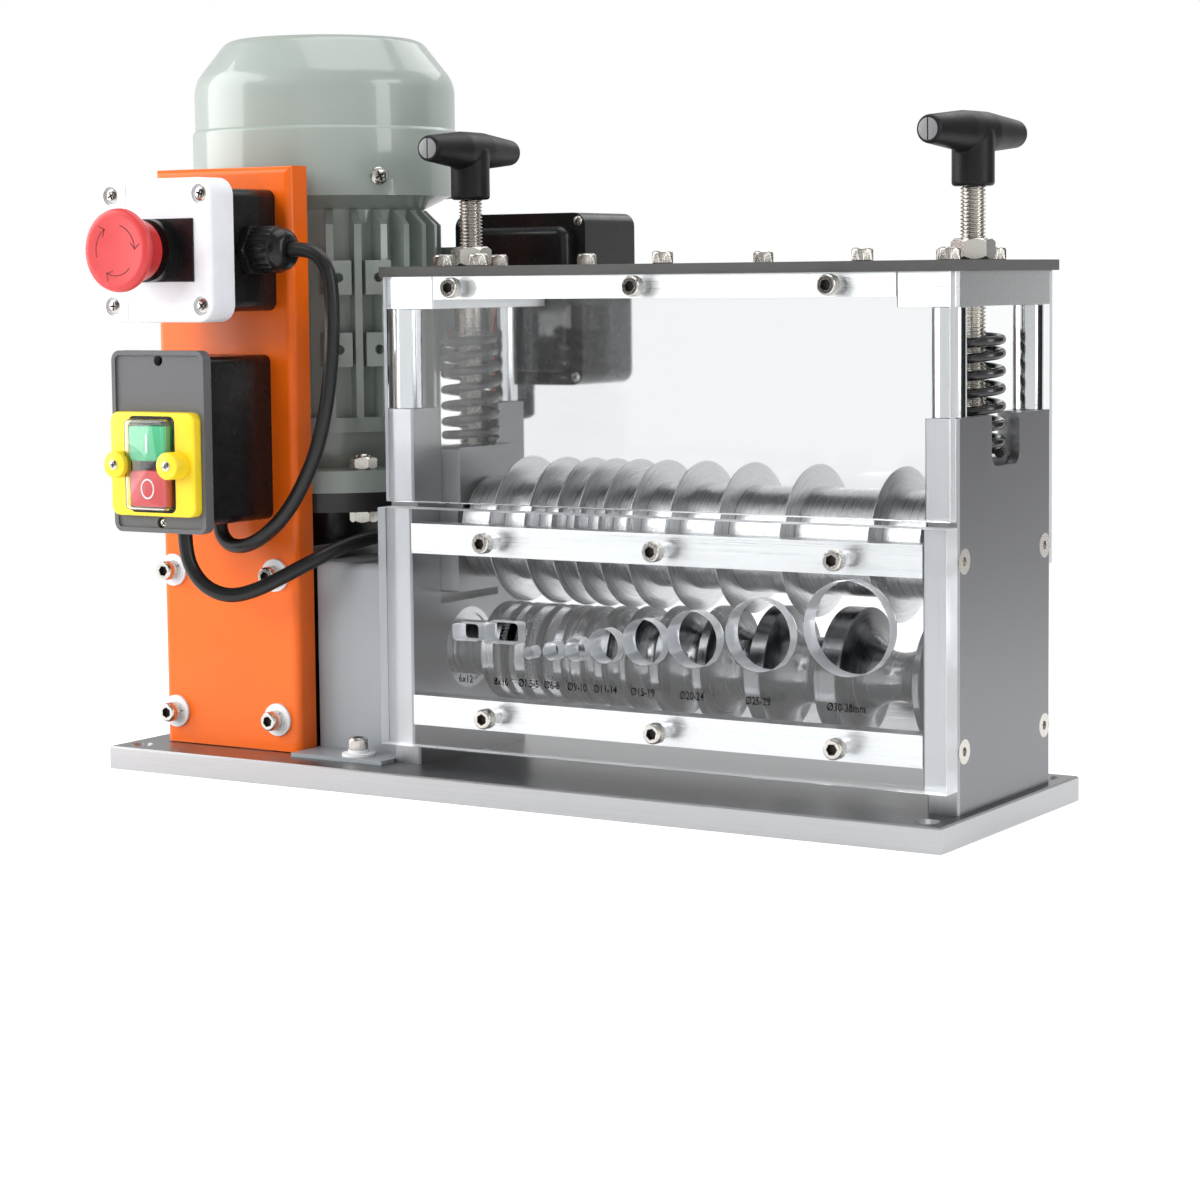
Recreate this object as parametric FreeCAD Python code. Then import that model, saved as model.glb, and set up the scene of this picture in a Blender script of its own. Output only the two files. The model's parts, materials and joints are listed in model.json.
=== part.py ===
import FreeCAD, Part
import math
import os

"""An electric wire stripping machine for the bench, in millimetres.

A steel base plate carries a stripping unit on the right and its drive on the left. In the unit a driven
feed roller turns in two end plates, and an idle roller of slitting discs hangs over it in two bearing
blocks, which two T-handled screws raise and lower. The drive is a worm gearbox with an upright motor,
and a folded panel before it carries an emergency stop and a start and stop switch.

Origin: middle of the base plate's underside. X to the right, Y to the back, Z up.
"""

V = FreeCAD.Vector
LEFT = V(-1, 0, 0)
RIGHT = V(1, 0, 0)
FRONT = V(0, -1, 0)
BACK = V(0, 1, 0)
UP = V(0, 0, 1)
DOWN = V(0, 0, -1)

# Clearances
RUNNING = 0.05
SLIDING = 0.3
FITTED = 0.1
OVERLAP = 2.0
OVERCUT = 1.0
SCREW_END_GAP = 2.0

# Base plate
BASE_LENGTH = 484.0
BASE_DEPTH = 156.0
BASE_THICK = 12.0
BASE_HOLE_INSET = 12.0
BASE_HOLE = 7.0
BASE_SINK = 12.4
BASE_CHAMFER = 0.8

# Frame of the stripping unit
UNIT_RIGHT = 237.3
UNIT_LENGTH = 314.4
UNIT_MIDDLE_Y = 2.0
END_PLATE_THICK = 16.0
END_PLATE_DEPTH = 102.0
END_PLATE_HEIGHT = 180.0
END_PLATE_CHAMFER = 1.0
CHANNEL_WIDTH = 52.0
CHANNEL_DEPTH = 11.0
CHANNEL_HEIGHT = 100.0
SPRING_SLOT_WIDTH = 31.4
SPRING_SLOT_DEPTH = 23.6
SPRING_SLOT_CORNER = 6.0
SHAFT_HOLE = 24.0
TIE_BAR_HEIGHT = 15.0
TIE_BAR_DEPTH = 12.0
LOWER_TIE_ABOVE_BASE = 21.4
UPPER_TIE_ABOVE_BASE = 108.0
GUIDE_ROD = 15.0
GUIDE_ROD_INSET = 0.5
GUIDE_ROD_LENGTH = 50.0
HEAD_BLOCK_LENGTH = 30.0
HEAD_BLOCK_THICK = 16.0
HEAD_BAR_HEIGHT = 11.3
HEAD_BAR_HOLE_FLOOR = 2.0
HEAD_BLOCK_HOLE_FLOOR = 4.0
TOP_SCREW_END_GAP = 1.0
TOP_PLATE_THICK = 5.0
TOP_PLATE_SIDE = 2.8
TOP_PLATE_FRONT = 3.0
TOP_PLATE_BACK = 4.0

# Rollers and their bearings
SHAFT = 20.0
BEARING_OUTSIDE = 42.0
BEARING_WIDTH = 12.0
BEARING_SHIELD_INSET = 0.8
BEARING_RING = 3.2
FEED_ABOVE_BASE = 55.0
ROLLER_CENTRES = 62.7
DISC = 74.0
DISC_THICK = 3.5
DISC_BEVEL = 6.0
DISC_EDGE = 0.5
SPACER = 51.8
SPACER_FROM_LEFT = 29.1
SPACER_FROM_RIGHT = 29.3
FEED_FROM_LEFT = 39.1
FEED_FROM_RIGHT = 27.5
LAND_RIGHT = 63.0
LAND_LEFT = 50.0
LAND_TAPER_START = 20.0
LAND_TAPER_END = 140.0
TOOTH_COUNT = 64
TOOTH_DEPTH = 1.0
RIM_CORE = 40.0
DISC_SLOT_FLOOR = 30.0
DISC_SLOT_SIDE = 0.8
SHOULDER = 28.0

# Channels from left to right: place, width and height of the guide opening, half width of the groove
FLAT_CHANNELS = (
    (-24.0, 15.5, 8.5, 82.8, 6.5),
    (-3.0, 20.0, 10.5, 83.5, 8.5),
)
ROUND_CHANNELS = (
    (13.0, 6.0, 3.0),
    (26.0, 9.0, 4.5),
    (40.0, 11.3, 5.5),
    (56.0, 16.4, 7.5),
    (78.0, 22.0, 10.0),
    (105.0, 27.0, 12.5),
    (140.5, 34.0, 15.0),
    (186.5, 44.0, 20.0),
)
ROUND_HOLE_LOWEST = 71.3
ROUND_HOLE_RISE = 0.56
SLOT_CORNER = 2.0

# Bearing blocks, springs and adjusting screws
BLOCK_LENGTH = 22.0
BLOCK_BOTTOM_DROP = 31.7
BLOCK_TOP_RISE = 41.8
BLOCK_SCREW_DEPTH = 18.0
SCREW = 12.0
SCREW_INSET = 16.6
SPRING_WIRE = 4.5
SPRING_MEAN = 26.5
SPRING_LENGTH = 59.1
SPRING_ACTIVE_TURNS = 5.5
SPRING_CLOSED_PITCH = 4.95
WIRE_SIDES = 8
LOCK_NUT_HEIGHT = 10.0
LOCK_NUT_FLATS = 18.0
LOCK_NUT_BEVEL = 1.0
THREAD_SHOWING = 24.0
HUB = 20.0
HUB_TO_BAR = 25.0
HUB_SCREW_DEPTH = 16.0
HUB_CHAMFER = 1.0
HANDLE_LENGTH = 80.0
HANDLE_MIDDLE = 19.0
HANDLE_END = 13.0
HANDLE_END_ROUND = 2.5
LEFT_HANDLE_TURN = 92.0
RIGHT_HANDLE_TURN = 84.0

# Clear panels
GUIDE_PANEL_THICK = 12.0
GUIDE_PANEL_BOTTOM = 23.3
GUIDE_PANEL_TOP = 143.0
PANEL_SIDE = 0.6
UPPER_GUARD_THICK = 6.0
UPPER_GUARD_BOTTOM = 145.7
UPPER_GUARD_SIDE = 1.6
REAR_GUARD_THICK = 4.0
REAR_GUARD_BOTTOM = 118.0

# Socket-head screws, M6
CAP_HEAD = 10.0
CAP_HEAD_HEIGHT = 6.0
CAP_SHANK = 6.0
CAP_SOCKET_FLATS = 5.0
CAP_SOCKET_DEPTH = 3.0
SUNK_HEAD = 12.0
SUNK_HEIGHT = 3.3
SHANK_SIDES = 10
GUIDE_SCREW_X = (-11.0, 86.0, 182.0)
GUARD_SCREW_X = (-32.0, 72.6, 176.5)
TOP_FRONT_SCREW_X = (-25.5, 80.4, 186.3)
TOP_REAR_SCREW_X = (-19.0, 85.5, 186.0)
BLOCK_SCREW_SPACING = 50.0

# Worm gearbox
GEARBOX_RIGHT = -144.0
GEARBOX_WIDTH = 78.0
GEAR_CENTRES = 40.0
GEARBOX_FRONT = -47.8
GEARBOX_BACK_FROM_WORM = 32.0
GEARBOX_BOTTOM = 18.0
GEARBOX_TOP = 118.0
GEARBOX_ROUND = 14.0
FOOT_LENGTH = 20.0
CASE_SCREW_DEPTH = 10.0
BARREL_OVERLAP = 10.0
GEAR_CAVITY = 66.0
GEAR_CAVITY_WIDTH = 44.0
WORM_BARREL = 64.0
WORM_CAVITY = 40.0
WORM_CAVITY_BOTTOM = 28.0
SIDE_COVER_RIM = 5.0
SIDE_COVER_THICK = 4.0
SIDE_COVER_SPIGOT = 10.0
SIDE_BOSS = 56.0
SIDE_BOSS_THICK = 3.0
GEAR_HUB = 30.0
WHEEL_TIP = 59.0
WHEEL_TOOTH_DEPTH = 2.6
WHEEL_WIDTH = 24.0
WHEEL_TEETH = 40
OUTPUT_SHAFT = 18.0
COUPLING = 38.0
COUPLING_LENGTH = 40.0
COUPLING_CHAMFER = 1.5
COUPLING_MIDDLE = -106.0

# Motor
FLANGE = 160.0
FLANGE_BOLTS = 130.0
FLANGE_TURN = -38.0
INPUT_FLANGE_BOTTOM = 135.3
INPUT_FLANGE_THICK = 10.2
MOTOR_FLANGE_THICK = 11.5
MOTOR_NECK_TOP = 184.0
MOTOR_NECK = 118.0
MOTOR_WAIST_STEP = 6.0
MOTOR_WAIST_DRAFT = 2.0
MOTOR_NECK_BAND = 8.0
MOTOR_SHIELD_RISE = 14.0
MOTOR_BODY = 104.0
MOTOR_FINS = 124.0
MOTOR_BORE = 92.0
FIN_COUNT = 26
FIN_THICK = 4.0
FIN_TOP = 294.0
FIN_SLOPE = 8.0
END_BELL_RISE = 9.0
END_BELL_RIM = 11.0
END_BELL_THICK = 8.0
FLANGE_BOLT = 8.0
FLANGE_NUT_FLATS = 13.0
FLANGE_NUT_HEIGHT = 6.5
FLANGE_BOLT_END = 1.5
FOOT_PAD_ROWS = (220.0, 258.0)
FOOT_PAD_COLUMNS = (-10.0, 10.0)
FOOT_PAD_SIDES = (-38.0, 142.0)
FOOT_PAD_WIDTH = 14.0
FOOT_PAD_HEIGHT = 18.0
FOOT_PAD_RADIUS = 62.5
FOOT_PAD_HOLE_DEPTH = 7.0
FOOT_PAD_HOLE = 5.0
COWL_ABOVE_FINS = 7.0
COWL_SKIRT_HEIGHT = 35.0
COWL_BODY_HEIGHT = 27.0
COWL_CONE_HEIGHT = 23.0
COWL_STEP_DRAFT = 1.5
COWL_SHOULDER_ROUND = 6.0
COWL_TOP_ROUND = 5.0
COWL_SKIRT = 143.6
COWL_BODY = 140.8
COWL_TOP_WIDTH = 105.0
COWL_SHEET = 1.6
COWL_SLOTS = 20
COWL_SLOT_WIDTH = 3.0
COWL_SLOT_INNER = 18.0
COWL_SLOT_OUTER = 44.0
MOTOR_SHAFT = 14.0
WORM = 19.8
WORM_LENGTH = 46.0
ROTOR = 64.0
ROTOR_ABOVE_NECK = 12.0
ROTOR_BELOW_FIN_TOP = 16.0
STATOR_INSIDE = 65.0
FAN = 120.0
FAN_HUB = 34.0
FAN_BLADES = 8
FAN_ABOVE_COWL_BOTTOM = 21.0
FAN_HEIGHT = 24.0
FAN_DISC = 3.0
BLADE_THICK = 2.5

# Terminal box on the motor
BOX_LEFT = -116.0
BOX_RIGHT = -33.0
BOX_FRONT = 72.0
BOX_DEPTH = 46.0
BOX_BOTTOM = 200.0
BOX_TOP = 291.0
BOX_WALL = 2.5
BOX_ROUND = 7.0
LID_THICK = 4.0
LID_DOME_INSET = 7.0
LID_DOME_RISE = 8.0
LID_DOME_ROUND = 5.0
BOX_NECK_HEIGHT = 68.0
BOX_NECK_DEPTH = 34.0
BOX_NECK_BOTTOM = 206.0

# Folded panel that carries the switches
PANEL_LEFT = -226.0
PANEL_RIGHT = -136.0
PANEL_BOTTOM_GAP = 0.4
PANEL_TOP = 315.3
PANEL_SHEET = 3.0
PANEL_FLANGE = 14.0
PANEL_BEND = 4.0
PANEL_SCREW_X = (-218.0, -150.0)
PANEL_SCREW_Z = (29.0, 104.5)
WASHER = 17.0
WASHER_THICK = 1.6
SPRING_WASHER = 10.6
SPRING_WASHER_THICK = 1.8

# Cover over the coupling
COVER_LEFT = -135.0
COVER_FRONT = -35.0
COVER_TOP = 111.0
COVER_SHEET = 2.0
COVER_FOOT = 25.0
COVER_BEND = 4.0
COVER_SCREW_X = -99.0
COVER_SCREW_INSET = 10.0

# Emergency stop
STOP_X = -175.0
STOP_Z = 272.4
STOP_COVER_SIZE = 72.0
STOP_COVER_DEPTH = 17.8
STOP_COVER_ROUND = 9.0
STOP_BASE_WIDTH = 58.0
STOP_BASE_HEIGHT = 62.0
STOP_BASE_DEPTH = 42.2
STOP_BASE_ROUND = 5.0
STOP_WALL = 2.5
LEGEND_WIDTH = 50.0
LEGEND_HEIGHT = 31.5
LEGEND_THICK = 1.0
COLLAR = 31.0
COLLAR_LENGTH = 6.2
STEM = 16.0
STEM_INSIDE = 30.0
STEM_HOLE = 18.0
MUSHROOM = 41.5
MUSHROOM_BACK = 30.0
MUSHROOM_FRONT = 30.2
MUSHROOM_RIM = 4.6
MUSHROOM_RIM_SLOPE = 2.2
MUSHROOM_ROUND = 2.8
MUSHROOM_RIM_ROUND = 1.2
MUSHROOM_LENGTH = 18.0
MUSHROOM_BORE_DEPTH = 12.0

# Cord glands
GLAND_Y = -70.0
GLAND_NUT = 24.0
GLAND_NUT_LENGTH = 13.0
GLAND_BODY_LENGTH = 5.0
GLAND_RIBS = 12
GLAND_RIB_DEPTH = 0.6
GLAND_LIP = 2.0
GLAND_DOME_SHARE = 0.8
CORD = 7.5

# Start and stop switch
SWITCH_X = -175.8
SWITCH_BELOW_STOP = 14.1
SWITCH_HEIGHT = 92.0
SWITCH_DEPTH = 60.0
SWITCH_PLATE_WIDTH = 60.0
SWITCH_PLATE_THICK = 6.0
SWITCH_FACE_INSET = 1.2
SWITCH_RIM = 2.4
SWITCH_ROUND = 5.0
SWITCH_BODY_WIDTH = 50.0
SWITCH_BODY_INSET = 3.5
SWITCH_BODY_ROUND = 4.0
SWITCH_WALL = 2.5
KEYHOLE = 5.6
KEYHOLE_INSET = 5.0
BEZEL_HEIGHT = 52.5
BEZEL_ABOVE_BOTTOM = 35.0
BEZEL_RISE = 5.2
BEZEL_ROUND = 5.0
WINDOW_WIDTH = 27.4
WINDOW_HEIGHT = 46.0
MEMBRANE_RISE = 11.6
MEMBRANE_WALL = 0.9
MEMBRANE_ROUND = 3.0
EAR_OFFSET = 17.1
EAR = 13.8
EAR_RISE = 14.7
KEY_WIDTH = 23.0
START_KEY_ABOVE = 1.9
START_KEY_HEIGHT = 17.6
STOP_KEY_BELOW = 2.9
STOP_KEY_HEIGHT = 18.4
KEY_RISE = 8.7
KEY_LENGTH = 22.0
KEY_ROUND = 1.5

# Cords, as points chosen along each route
STOP_CORD_ROUTE = (
    (-121.0, -70.0, 272.4),
    (-110.5, -70.0, 272.4),
    (-101.2, -70.0, 267.6),
    (-96.6, -70.0, 257.6),
    (-95.6, -70.0, 243.0),
    (-96.4, -70.0, 221.0),
    (-99.6, -70.0, 196.0),
    (-106.4, -70.0, 172.0),
    (-117.4, -69.6, 152.0),
    (-130.0, -68.6, 136.6),
    (-144.0, -67.4, 126.0),
    (-156.4, -66.4, 120.6),
    (-166.6, -65.4, 120.4),
    (-171.9, -64.9, 123.4),
    (-174.8, -64.8, 128.4),
    (-174.8, -64.8, 133.8),
)
MOTOR_CORD_ROUTE = (
    (-179.0, -88.0, 133.8),
    (-179.0, -88.0, 122.4),
    (-176.0, -87.6, 110.2),
    (-167.6, -85.8, 100.2),
    (-155.2, -82.0, 96.0),
    (-142.2, -76.8, 99.4),
    (-130.2, -69.6, 106.4),
    (-119.6, -58.6, 114.0),
    (-112.2, -42.0, 120.8),
    (-106.4, -22.0, 124.2),
    (-100.6, 0.0, 125.6),
    (-95.0, 22.0, 126.6),
    (-91.2, 43.0, 129.4),
    (-90.0, 61.0, 135.4),
    (-91.4, 76.4, 145.4),
    (-93.8, 88.2, 157.0),
    (-95.0, 94.0, 169.0),
    (-95.0, 94.0, 180.0),
)

# Places worked out from the sizes above
BASE_TOP = BASE_THICK
UNIT_LEFT = UNIT_RIGHT - UNIT_LENGTH
UNIT_FRONT = UNIT_MIDDLE_Y - END_PLATE_DEPTH / 2
UNIT_BACK = UNIT_MIDDLE_Y + END_PLATE_DEPTH / 2
INNER_LEFT = UNIT_LEFT + END_PLATE_THICK
INNER_RIGHT = UNIT_RIGHT - END_PLATE_THICK
PLATE_TOP = BASE_TOP + END_PLATE_HEIGHT
HEAD_BOTTOM = PLATE_TOP + GUIDE_ROD_LENGTH
HEAD_TOP = HEAD_BOTTOM + HEAD_BLOCK_THICK
TOP_SURFACE = HEAD_TOP + TOP_PLATE_THICK
FEED_Z = BASE_TOP + FEED_ABOVE_BASE
BLADE_Z = FEED_Z + ROLLER_CENTRES
LOWER_TIE_Z = BASE_TOP + LOWER_TIE_ABOVE_BASE
UPPER_TIE_Z = BASE_TOP + UPPER_TIE_ABOVE_BASE
BLOCK_TOP = BLADE_Z + BLOCK_TOP_RISE
SCREW_X = (UNIT_LEFT + SCREW_INSET, UNIT_RIGHT - SCREW_INSET)
BAR_Z = TOP_SURFACE + LOCK_NUT_HEIGHT + THREAD_SHOWING + HUB_TO_BAR
HUB_BOTTOM = BAR_Z - HUB_TO_BAR
GEARBOX_LEFT = GEARBOX_RIGHT - GEARBOX_WIDTH
MOTOR_X = (GEARBOX_LEFT + GEARBOX_RIGHT) / 2
MOTOR_Y = UNIT_MIDDLE_Y + GEAR_CENTRES
INPUT_FLANGE_TOP = INPUT_FLANGE_BOTTOM + INPUT_FLANGE_THICK
MOTOR_FLANGE_TOP = INPUT_FLANGE_TOP + MOTOR_FLANGE_THICK
ROTOR_BOTTOM = MOTOR_NECK_TOP + ROTOR_ABOVE_NECK
ROTOR_TOP = FIN_TOP - ROTOR_BELOW_FIN_TOP
COWL_BOTTOM = FIN_TOP + COWL_ABOVE_FINS
COWL_STEP = COWL_BOTTOM + COWL_SKIRT_HEIGHT
COWL_TAPER = COWL_STEP + COWL_BODY_HEIGHT
COWL_TOP = COWL_TAPER + COWL_CONE_HEIGHT
FAN_BOTTOM = COWL_BOTTOM + FAN_ABOVE_COWL_BOTTOM
PANEL_FRONT = GEARBOX_FRONT - PANEL_SHEET
STOP_BASE_FRONT = PANEL_FRONT - STOP_BASE_DEPTH
STOP_FRONT = STOP_BASE_FRONT - STOP_COVER_DEPTH
SWITCH_TOP = STOP_Z - STOP_COVER_SIZE / 2 - SWITCH_BELOW_STOP
SWITCH_BOTTOM = SWITCH_TOP - SWITCH_HEIGHT
SWITCH_FRONT = PANEL_FRONT - SWITCH_DEPTH
BEZEL_Z = SWITCH_BOTTOM + BEZEL_ABOVE_BOTTOM
BEZEL_FRONT = SWITCH_FRONT - BEZEL_RISE
MEMBRANE_FRONT = SWITCH_FRONT - MEMBRANE_RISE
EAR_FRONT = SWITCH_FRONT - EAR_RISE
KEY_FRONT = SWITCH_FRONT - KEY_RISE
START_KEY = (BEZEL_Z + START_KEY_ABOVE, BEZEL_Z + START_KEY_ABOVE + START_KEY_HEIGHT)
STOP_KEY = (BEZEL_Z - STOP_KEY_BELOW - STOP_KEY_HEIGHT, BEZEL_Z - STOP_KEY_BELOW)
GUIDE_ROD_REACH = (END_PLATE_DEPTH - GUIDE_ROD) / 2 - GUIDE_ROD_INSET
SIDE_COVER = GEAR_CAVITY + 2 * SIDE_COVER_RIM
DISC_X = tuple(channel[0] for channel in FLAT_CHANNELS + ROUND_CHANNELS)


def block(x0, x1, y0, y1, z0, z1):
    """A box between two corners."""
    return Part.makeBox(x1 - x0, y1 - y0, z1 - z0, V(x0, y0, z0))


def rod(diameter, start, direction, length):
    """A round bar from a point along a direction."""
    return Part.makeCylinder(diameter / 2, length, start, direction)


def tube(outside, inside, start, direction, length):
    """A round bar with a bore right through it."""
    return rod(outside, start, direction, length).cut(rod(inside, start, direction, length))


def turned(points, centre, axis, across):
    """A solid of revolution. Each point is a distance along the axis and a radius."""
    corners = [centre + axis * along + across * radius for along, radius in points]
    outline = Part.makePolygon(corners + [corners[0]])
    return Part.Face(outline).revolve(centre, axis, 360)


def prism(sides, flats, start, direction, length):
    """A regular prism of a given width across its flats."""
    radius = flats / 2 / math.cos(math.pi / sides)
    corners = []
    for i in range(sides):
        angle = 2 * math.pi * (i + 0.5) / sides
        corners.append(V(radius * math.cos(angle), radius * math.sin(angle), 0))
    shape = Part.Face(Part.makePolygon(corners + [corners[0]])).extrude(V(0, 0, length))
    return placed(shape, start, direction)


def shank(diameter, start, direction, length):
    """A screw's shank as a prism whose corners lie on its diameter."""
    return prism(SHANK_SIDES, diameter * math.cos(math.pi / SHANK_SIDES), start, direction, length)


def placed(shape, point, direction):
    """Turn a shape made along +Z to a direction and move it to a point."""
    turn = FreeCAD.Rotation(UP, direction)
    shape.Placement = FreeCAD.Placement(point, turn)
    return shape.copy()


def rounded(shape, radius, chosen):
    """Fillet the edges whose midpoint and direction a test picks."""
    edges = [edge for edge in shape.Edges if chosen(edge)]
    return shape.makeFillet(radius, edges)


def along(edge, axis):
    """Whether a straight edge lies along an axis."""
    if not isinstance(edge.Curve, Part.Line):
        return False
    return abs(edge.Curve.Direction.dot(axis)) > 0.999


def is_ring(edge):
    """Whether an edge is a whole circle."""
    return isinstance(edge.Curve, Part.Circle) and len(edge.Vertexes) == 1


def middle(edge):
    return edge.valueAt((edge.FirstParameter + edge.LastParameter) / 2)


def rounded_block(x0, x1, y0, y1, z0, z1, radius, axis):
    """A box whose four edges along one axis are rounded."""
    return rounded(block(x0, x1, y0, y1, z0, z1), radius, lambda edge: along(edge, axis))


def save(name, *solids):
    """Write the separate solids of one node to its STEP file."""
    parts = []
    for solid in solids:
        parts.extend(solid.removeSplitter().Solids)
    shape = parts[0] if len(parts) == 1 else Part.makeCompound(parts)
    shape.exportStep("parts/" + name + ".step")
    for part in parts:
        if not part.isValid() or part.Volume < 1:
            print("check", name, part.Volume, part.isValid())


def cap_screw(seat, out, grip):
    """A socket-head screw whose head stands on a seat and points out of it."""
    head = rod(CAP_HEAD, V(0, 0, 0), UP, CAP_HEAD_HEIGHT)
    socket_floor = V(0, 0, CAP_HEAD_HEIGHT - CAP_SOCKET_DEPTH)
    head = head.cut(prism(6, CAP_SOCKET_FLATS, socket_floor, UP, CAP_SOCKET_DEPTH))
    stem = shank(CAP_SHANK - FITTED, V(0, 0, -grip), UP, grip)
    return placed(head.fuse(stem), seat, out)


def sunk_screw(face, out, reach):
    """A countersunk screw whose flat head is flush with a face."""
    head = Part.makeCone(CAP_SHANK / 2, SUNK_HEAD / 2 - FITTED, SUNK_HEIGHT, V(0, 0, -SUNK_HEIGHT), UP)
    socket_floor = V(0, 0, -SUNK_HEIGHT / 2)
    head = head.cut(prism(6, CAP_SOCKET_FLATS - 1, socket_floor, UP, SUNK_HEIGHT))
    stem = shank(CAP_SHANK - FITTED, V(0, 0, -reach), UP, reach - SUNK_HEIGHT)
    return placed(head.fuse(stem), face, out)


def sunk_hole(face, out, depth):
    """The cutter for a countersunk screw's hole."""
    cone = Part.makeCone(CAP_SHANK / 2, SUNK_HEAD / 2, SUNK_HEIGHT, V(0, 0, -SUNK_HEIGHT), UP)
    hole = rod(CAP_SHANK, V(0, 0, -depth), UP, depth)
    return placed(cone.fuse(hole), face, out)


def screw_hole(face, into, depth):
    """The cutter for a cap screw's shank."""
    return rod(CAP_SHANK + FITTED, face, into, depth)


def tie_bar_places():
    """The front and rear faces of the tie bars, and their middle height, for all four."""
    for z in (LOWER_TIE_Z, UPPER_TIE_Z):
        yield UNIT_FRONT, UNIT_FRONT + TIE_BAR_DEPTH, z + TIE_BAR_HEIGHT / 2
        yield UNIT_BACK - TIE_BAR_DEPTH, UNIT_BACK, z + TIE_BAR_HEIGHT / 2


def base_plate():
    plate = block(-BASE_LENGTH / 2, BASE_LENGTH / 2, -BASE_DEPTH / 2, BASE_DEPTH / 2, 0, BASE_TOP)
    plate = plate.makeChamfer(BASE_CHAMFER, [edge for edge in plate.Edges if middle(edge).z == BASE_TOP])
    sink_depth = (BASE_SINK - BASE_HOLE) / 2
    for x in (-1, 1):
        for y in (-1, 1):
            place = V(x * (BASE_LENGTH / 2 - BASE_HOLE_INSET), y * (BASE_DEPTH / 2 - BASE_HOLE_INSET), 0)
            plate = plate.cut(rod(BASE_HOLE, place, UP, BASE_THICK))
            sink_place = place + V(0, 0, BASE_THICK - sink_depth)
            plate = plate.cut(Part.makeCone(BASE_HOLE / 2, BASE_SINK / 2, sink_depth, sink_place, UP))
    save("base_plate", plate)


def end_plate(name, inner, outward, shaft_goes_through):
    """An end plate with the block's channel, the spring's slot and the feed shaft's bearing seat."""
    outer = inner + outward * END_PLATE_THICK
    low, high = sorted((inner, outer))
    plate = block(low, high, UNIT_FRONT, UNIT_BACK, BASE_TOP, PLATE_TOP)
    upright = [edge for edge in plate.Edges if along(edge, UP)]
    plate = plate.makeChamfer(END_PLATE_CHAMFER, upright)
    floor = inner + outward * CHANNEL_DEPTH
    low, high = sorted((inner, floor))
    half = CHANNEL_WIDTH / 2
    plate = plate.cut(block(low, high, UNIT_MIDDLE_Y - half, UNIT_MIDDLE_Y + half,
                            PLATE_TOP - CHANNEL_HEIGHT, PLATE_TOP))
    low, high = sorted((floor, outer))
    half = SPRING_SLOT_WIDTH / 2
    slot = block(low, high, UNIT_MIDDLE_Y - half, UNIT_MIDDLE_Y + half,
                 PLATE_TOP - SPRING_SLOT_DEPTH, PLATE_TOP + SPRING_SLOT_CORNER)
    slot = rounded(slot, SPRING_SLOT_CORNER,
                   lambda edge: along(edge, RIGHT) and middle(edge).z < PLATE_TOP)
    plate = plate.cut(slot)
    out = V(outward, 0, 0)
    axis_point = V(inner, UNIT_MIDDLE_Y, FEED_Z)
    plate = plate.cut(rod(BEARING_OUTSIDE, axis_point, out, BEARING_WIDTH))
    if shaft_goes_through:
        plate = plate.cut(rod(SHAFT_HOLE, axis_point, out, END_PLATE_THICK))
    for y0, y1, z in tie_bar_places():
        plate = plate.cut(sunk_hole(V(outer, (y0 + y1) / 2, z), out, END_PLATE_THICK))
    save(name, plate)


def tie_bars():
    bars = []
    for y0, y1, z in tie_bar_places():
        half = TIE_BAR_HEIGHT / 2
        bar = block(INNER_LEFT, INNER_RIGHT, y0, y1, z - half, z + half)
        depth = TIE_BAR_DEPTH
        for end, into in ((INNER_LEFT, RIGHT), (INNER_RIGHT, LEFT)):
            bar = bar.cut(screw_hole(V(end, (y0 + y1) / 2, z), into, depth))
        if y0 == UNIT_FRONT:
            for x in GUIDE_SCREW_X:
                bar = bar.cut(screw_hole(V(x, y0, z), BACK, depth))
        bars.append(bar)
    save("tie_bars", *bars)


def end_plate_screws():
    screws = []
    for y0, y1, z in tie_bar_places():
        for face, out in ((UNIT_LEFT, LEFT), (UNIT_RIGHT, RIGHT)):
            reach = END_PLATE_THICK + TIE_BAR_DEPTH - SCREW_END_GAP
            screws.append(sunk_screw(V(face, (y0 + y1) / 2, z), out, reach))
    save("end_plate_screws", *screws)


def guide_rods():
    rods = []
    for x in ((UNIT_LEFT + INNER_LEFT) / 2, (UNIT_RIGHT + INNER_RIGHT) / 2):
        for side in (-1, 1):
            foot = V(x, UNIT_MIDDLE_Y + side * GUIDE_ROD_REACH, PLATE_TOP)
            rods.append(rod(GUIDE_ROD, foot, UP, GUIDE_ROD_LENGTH))
    save("guide_rods", *rods)


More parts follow.
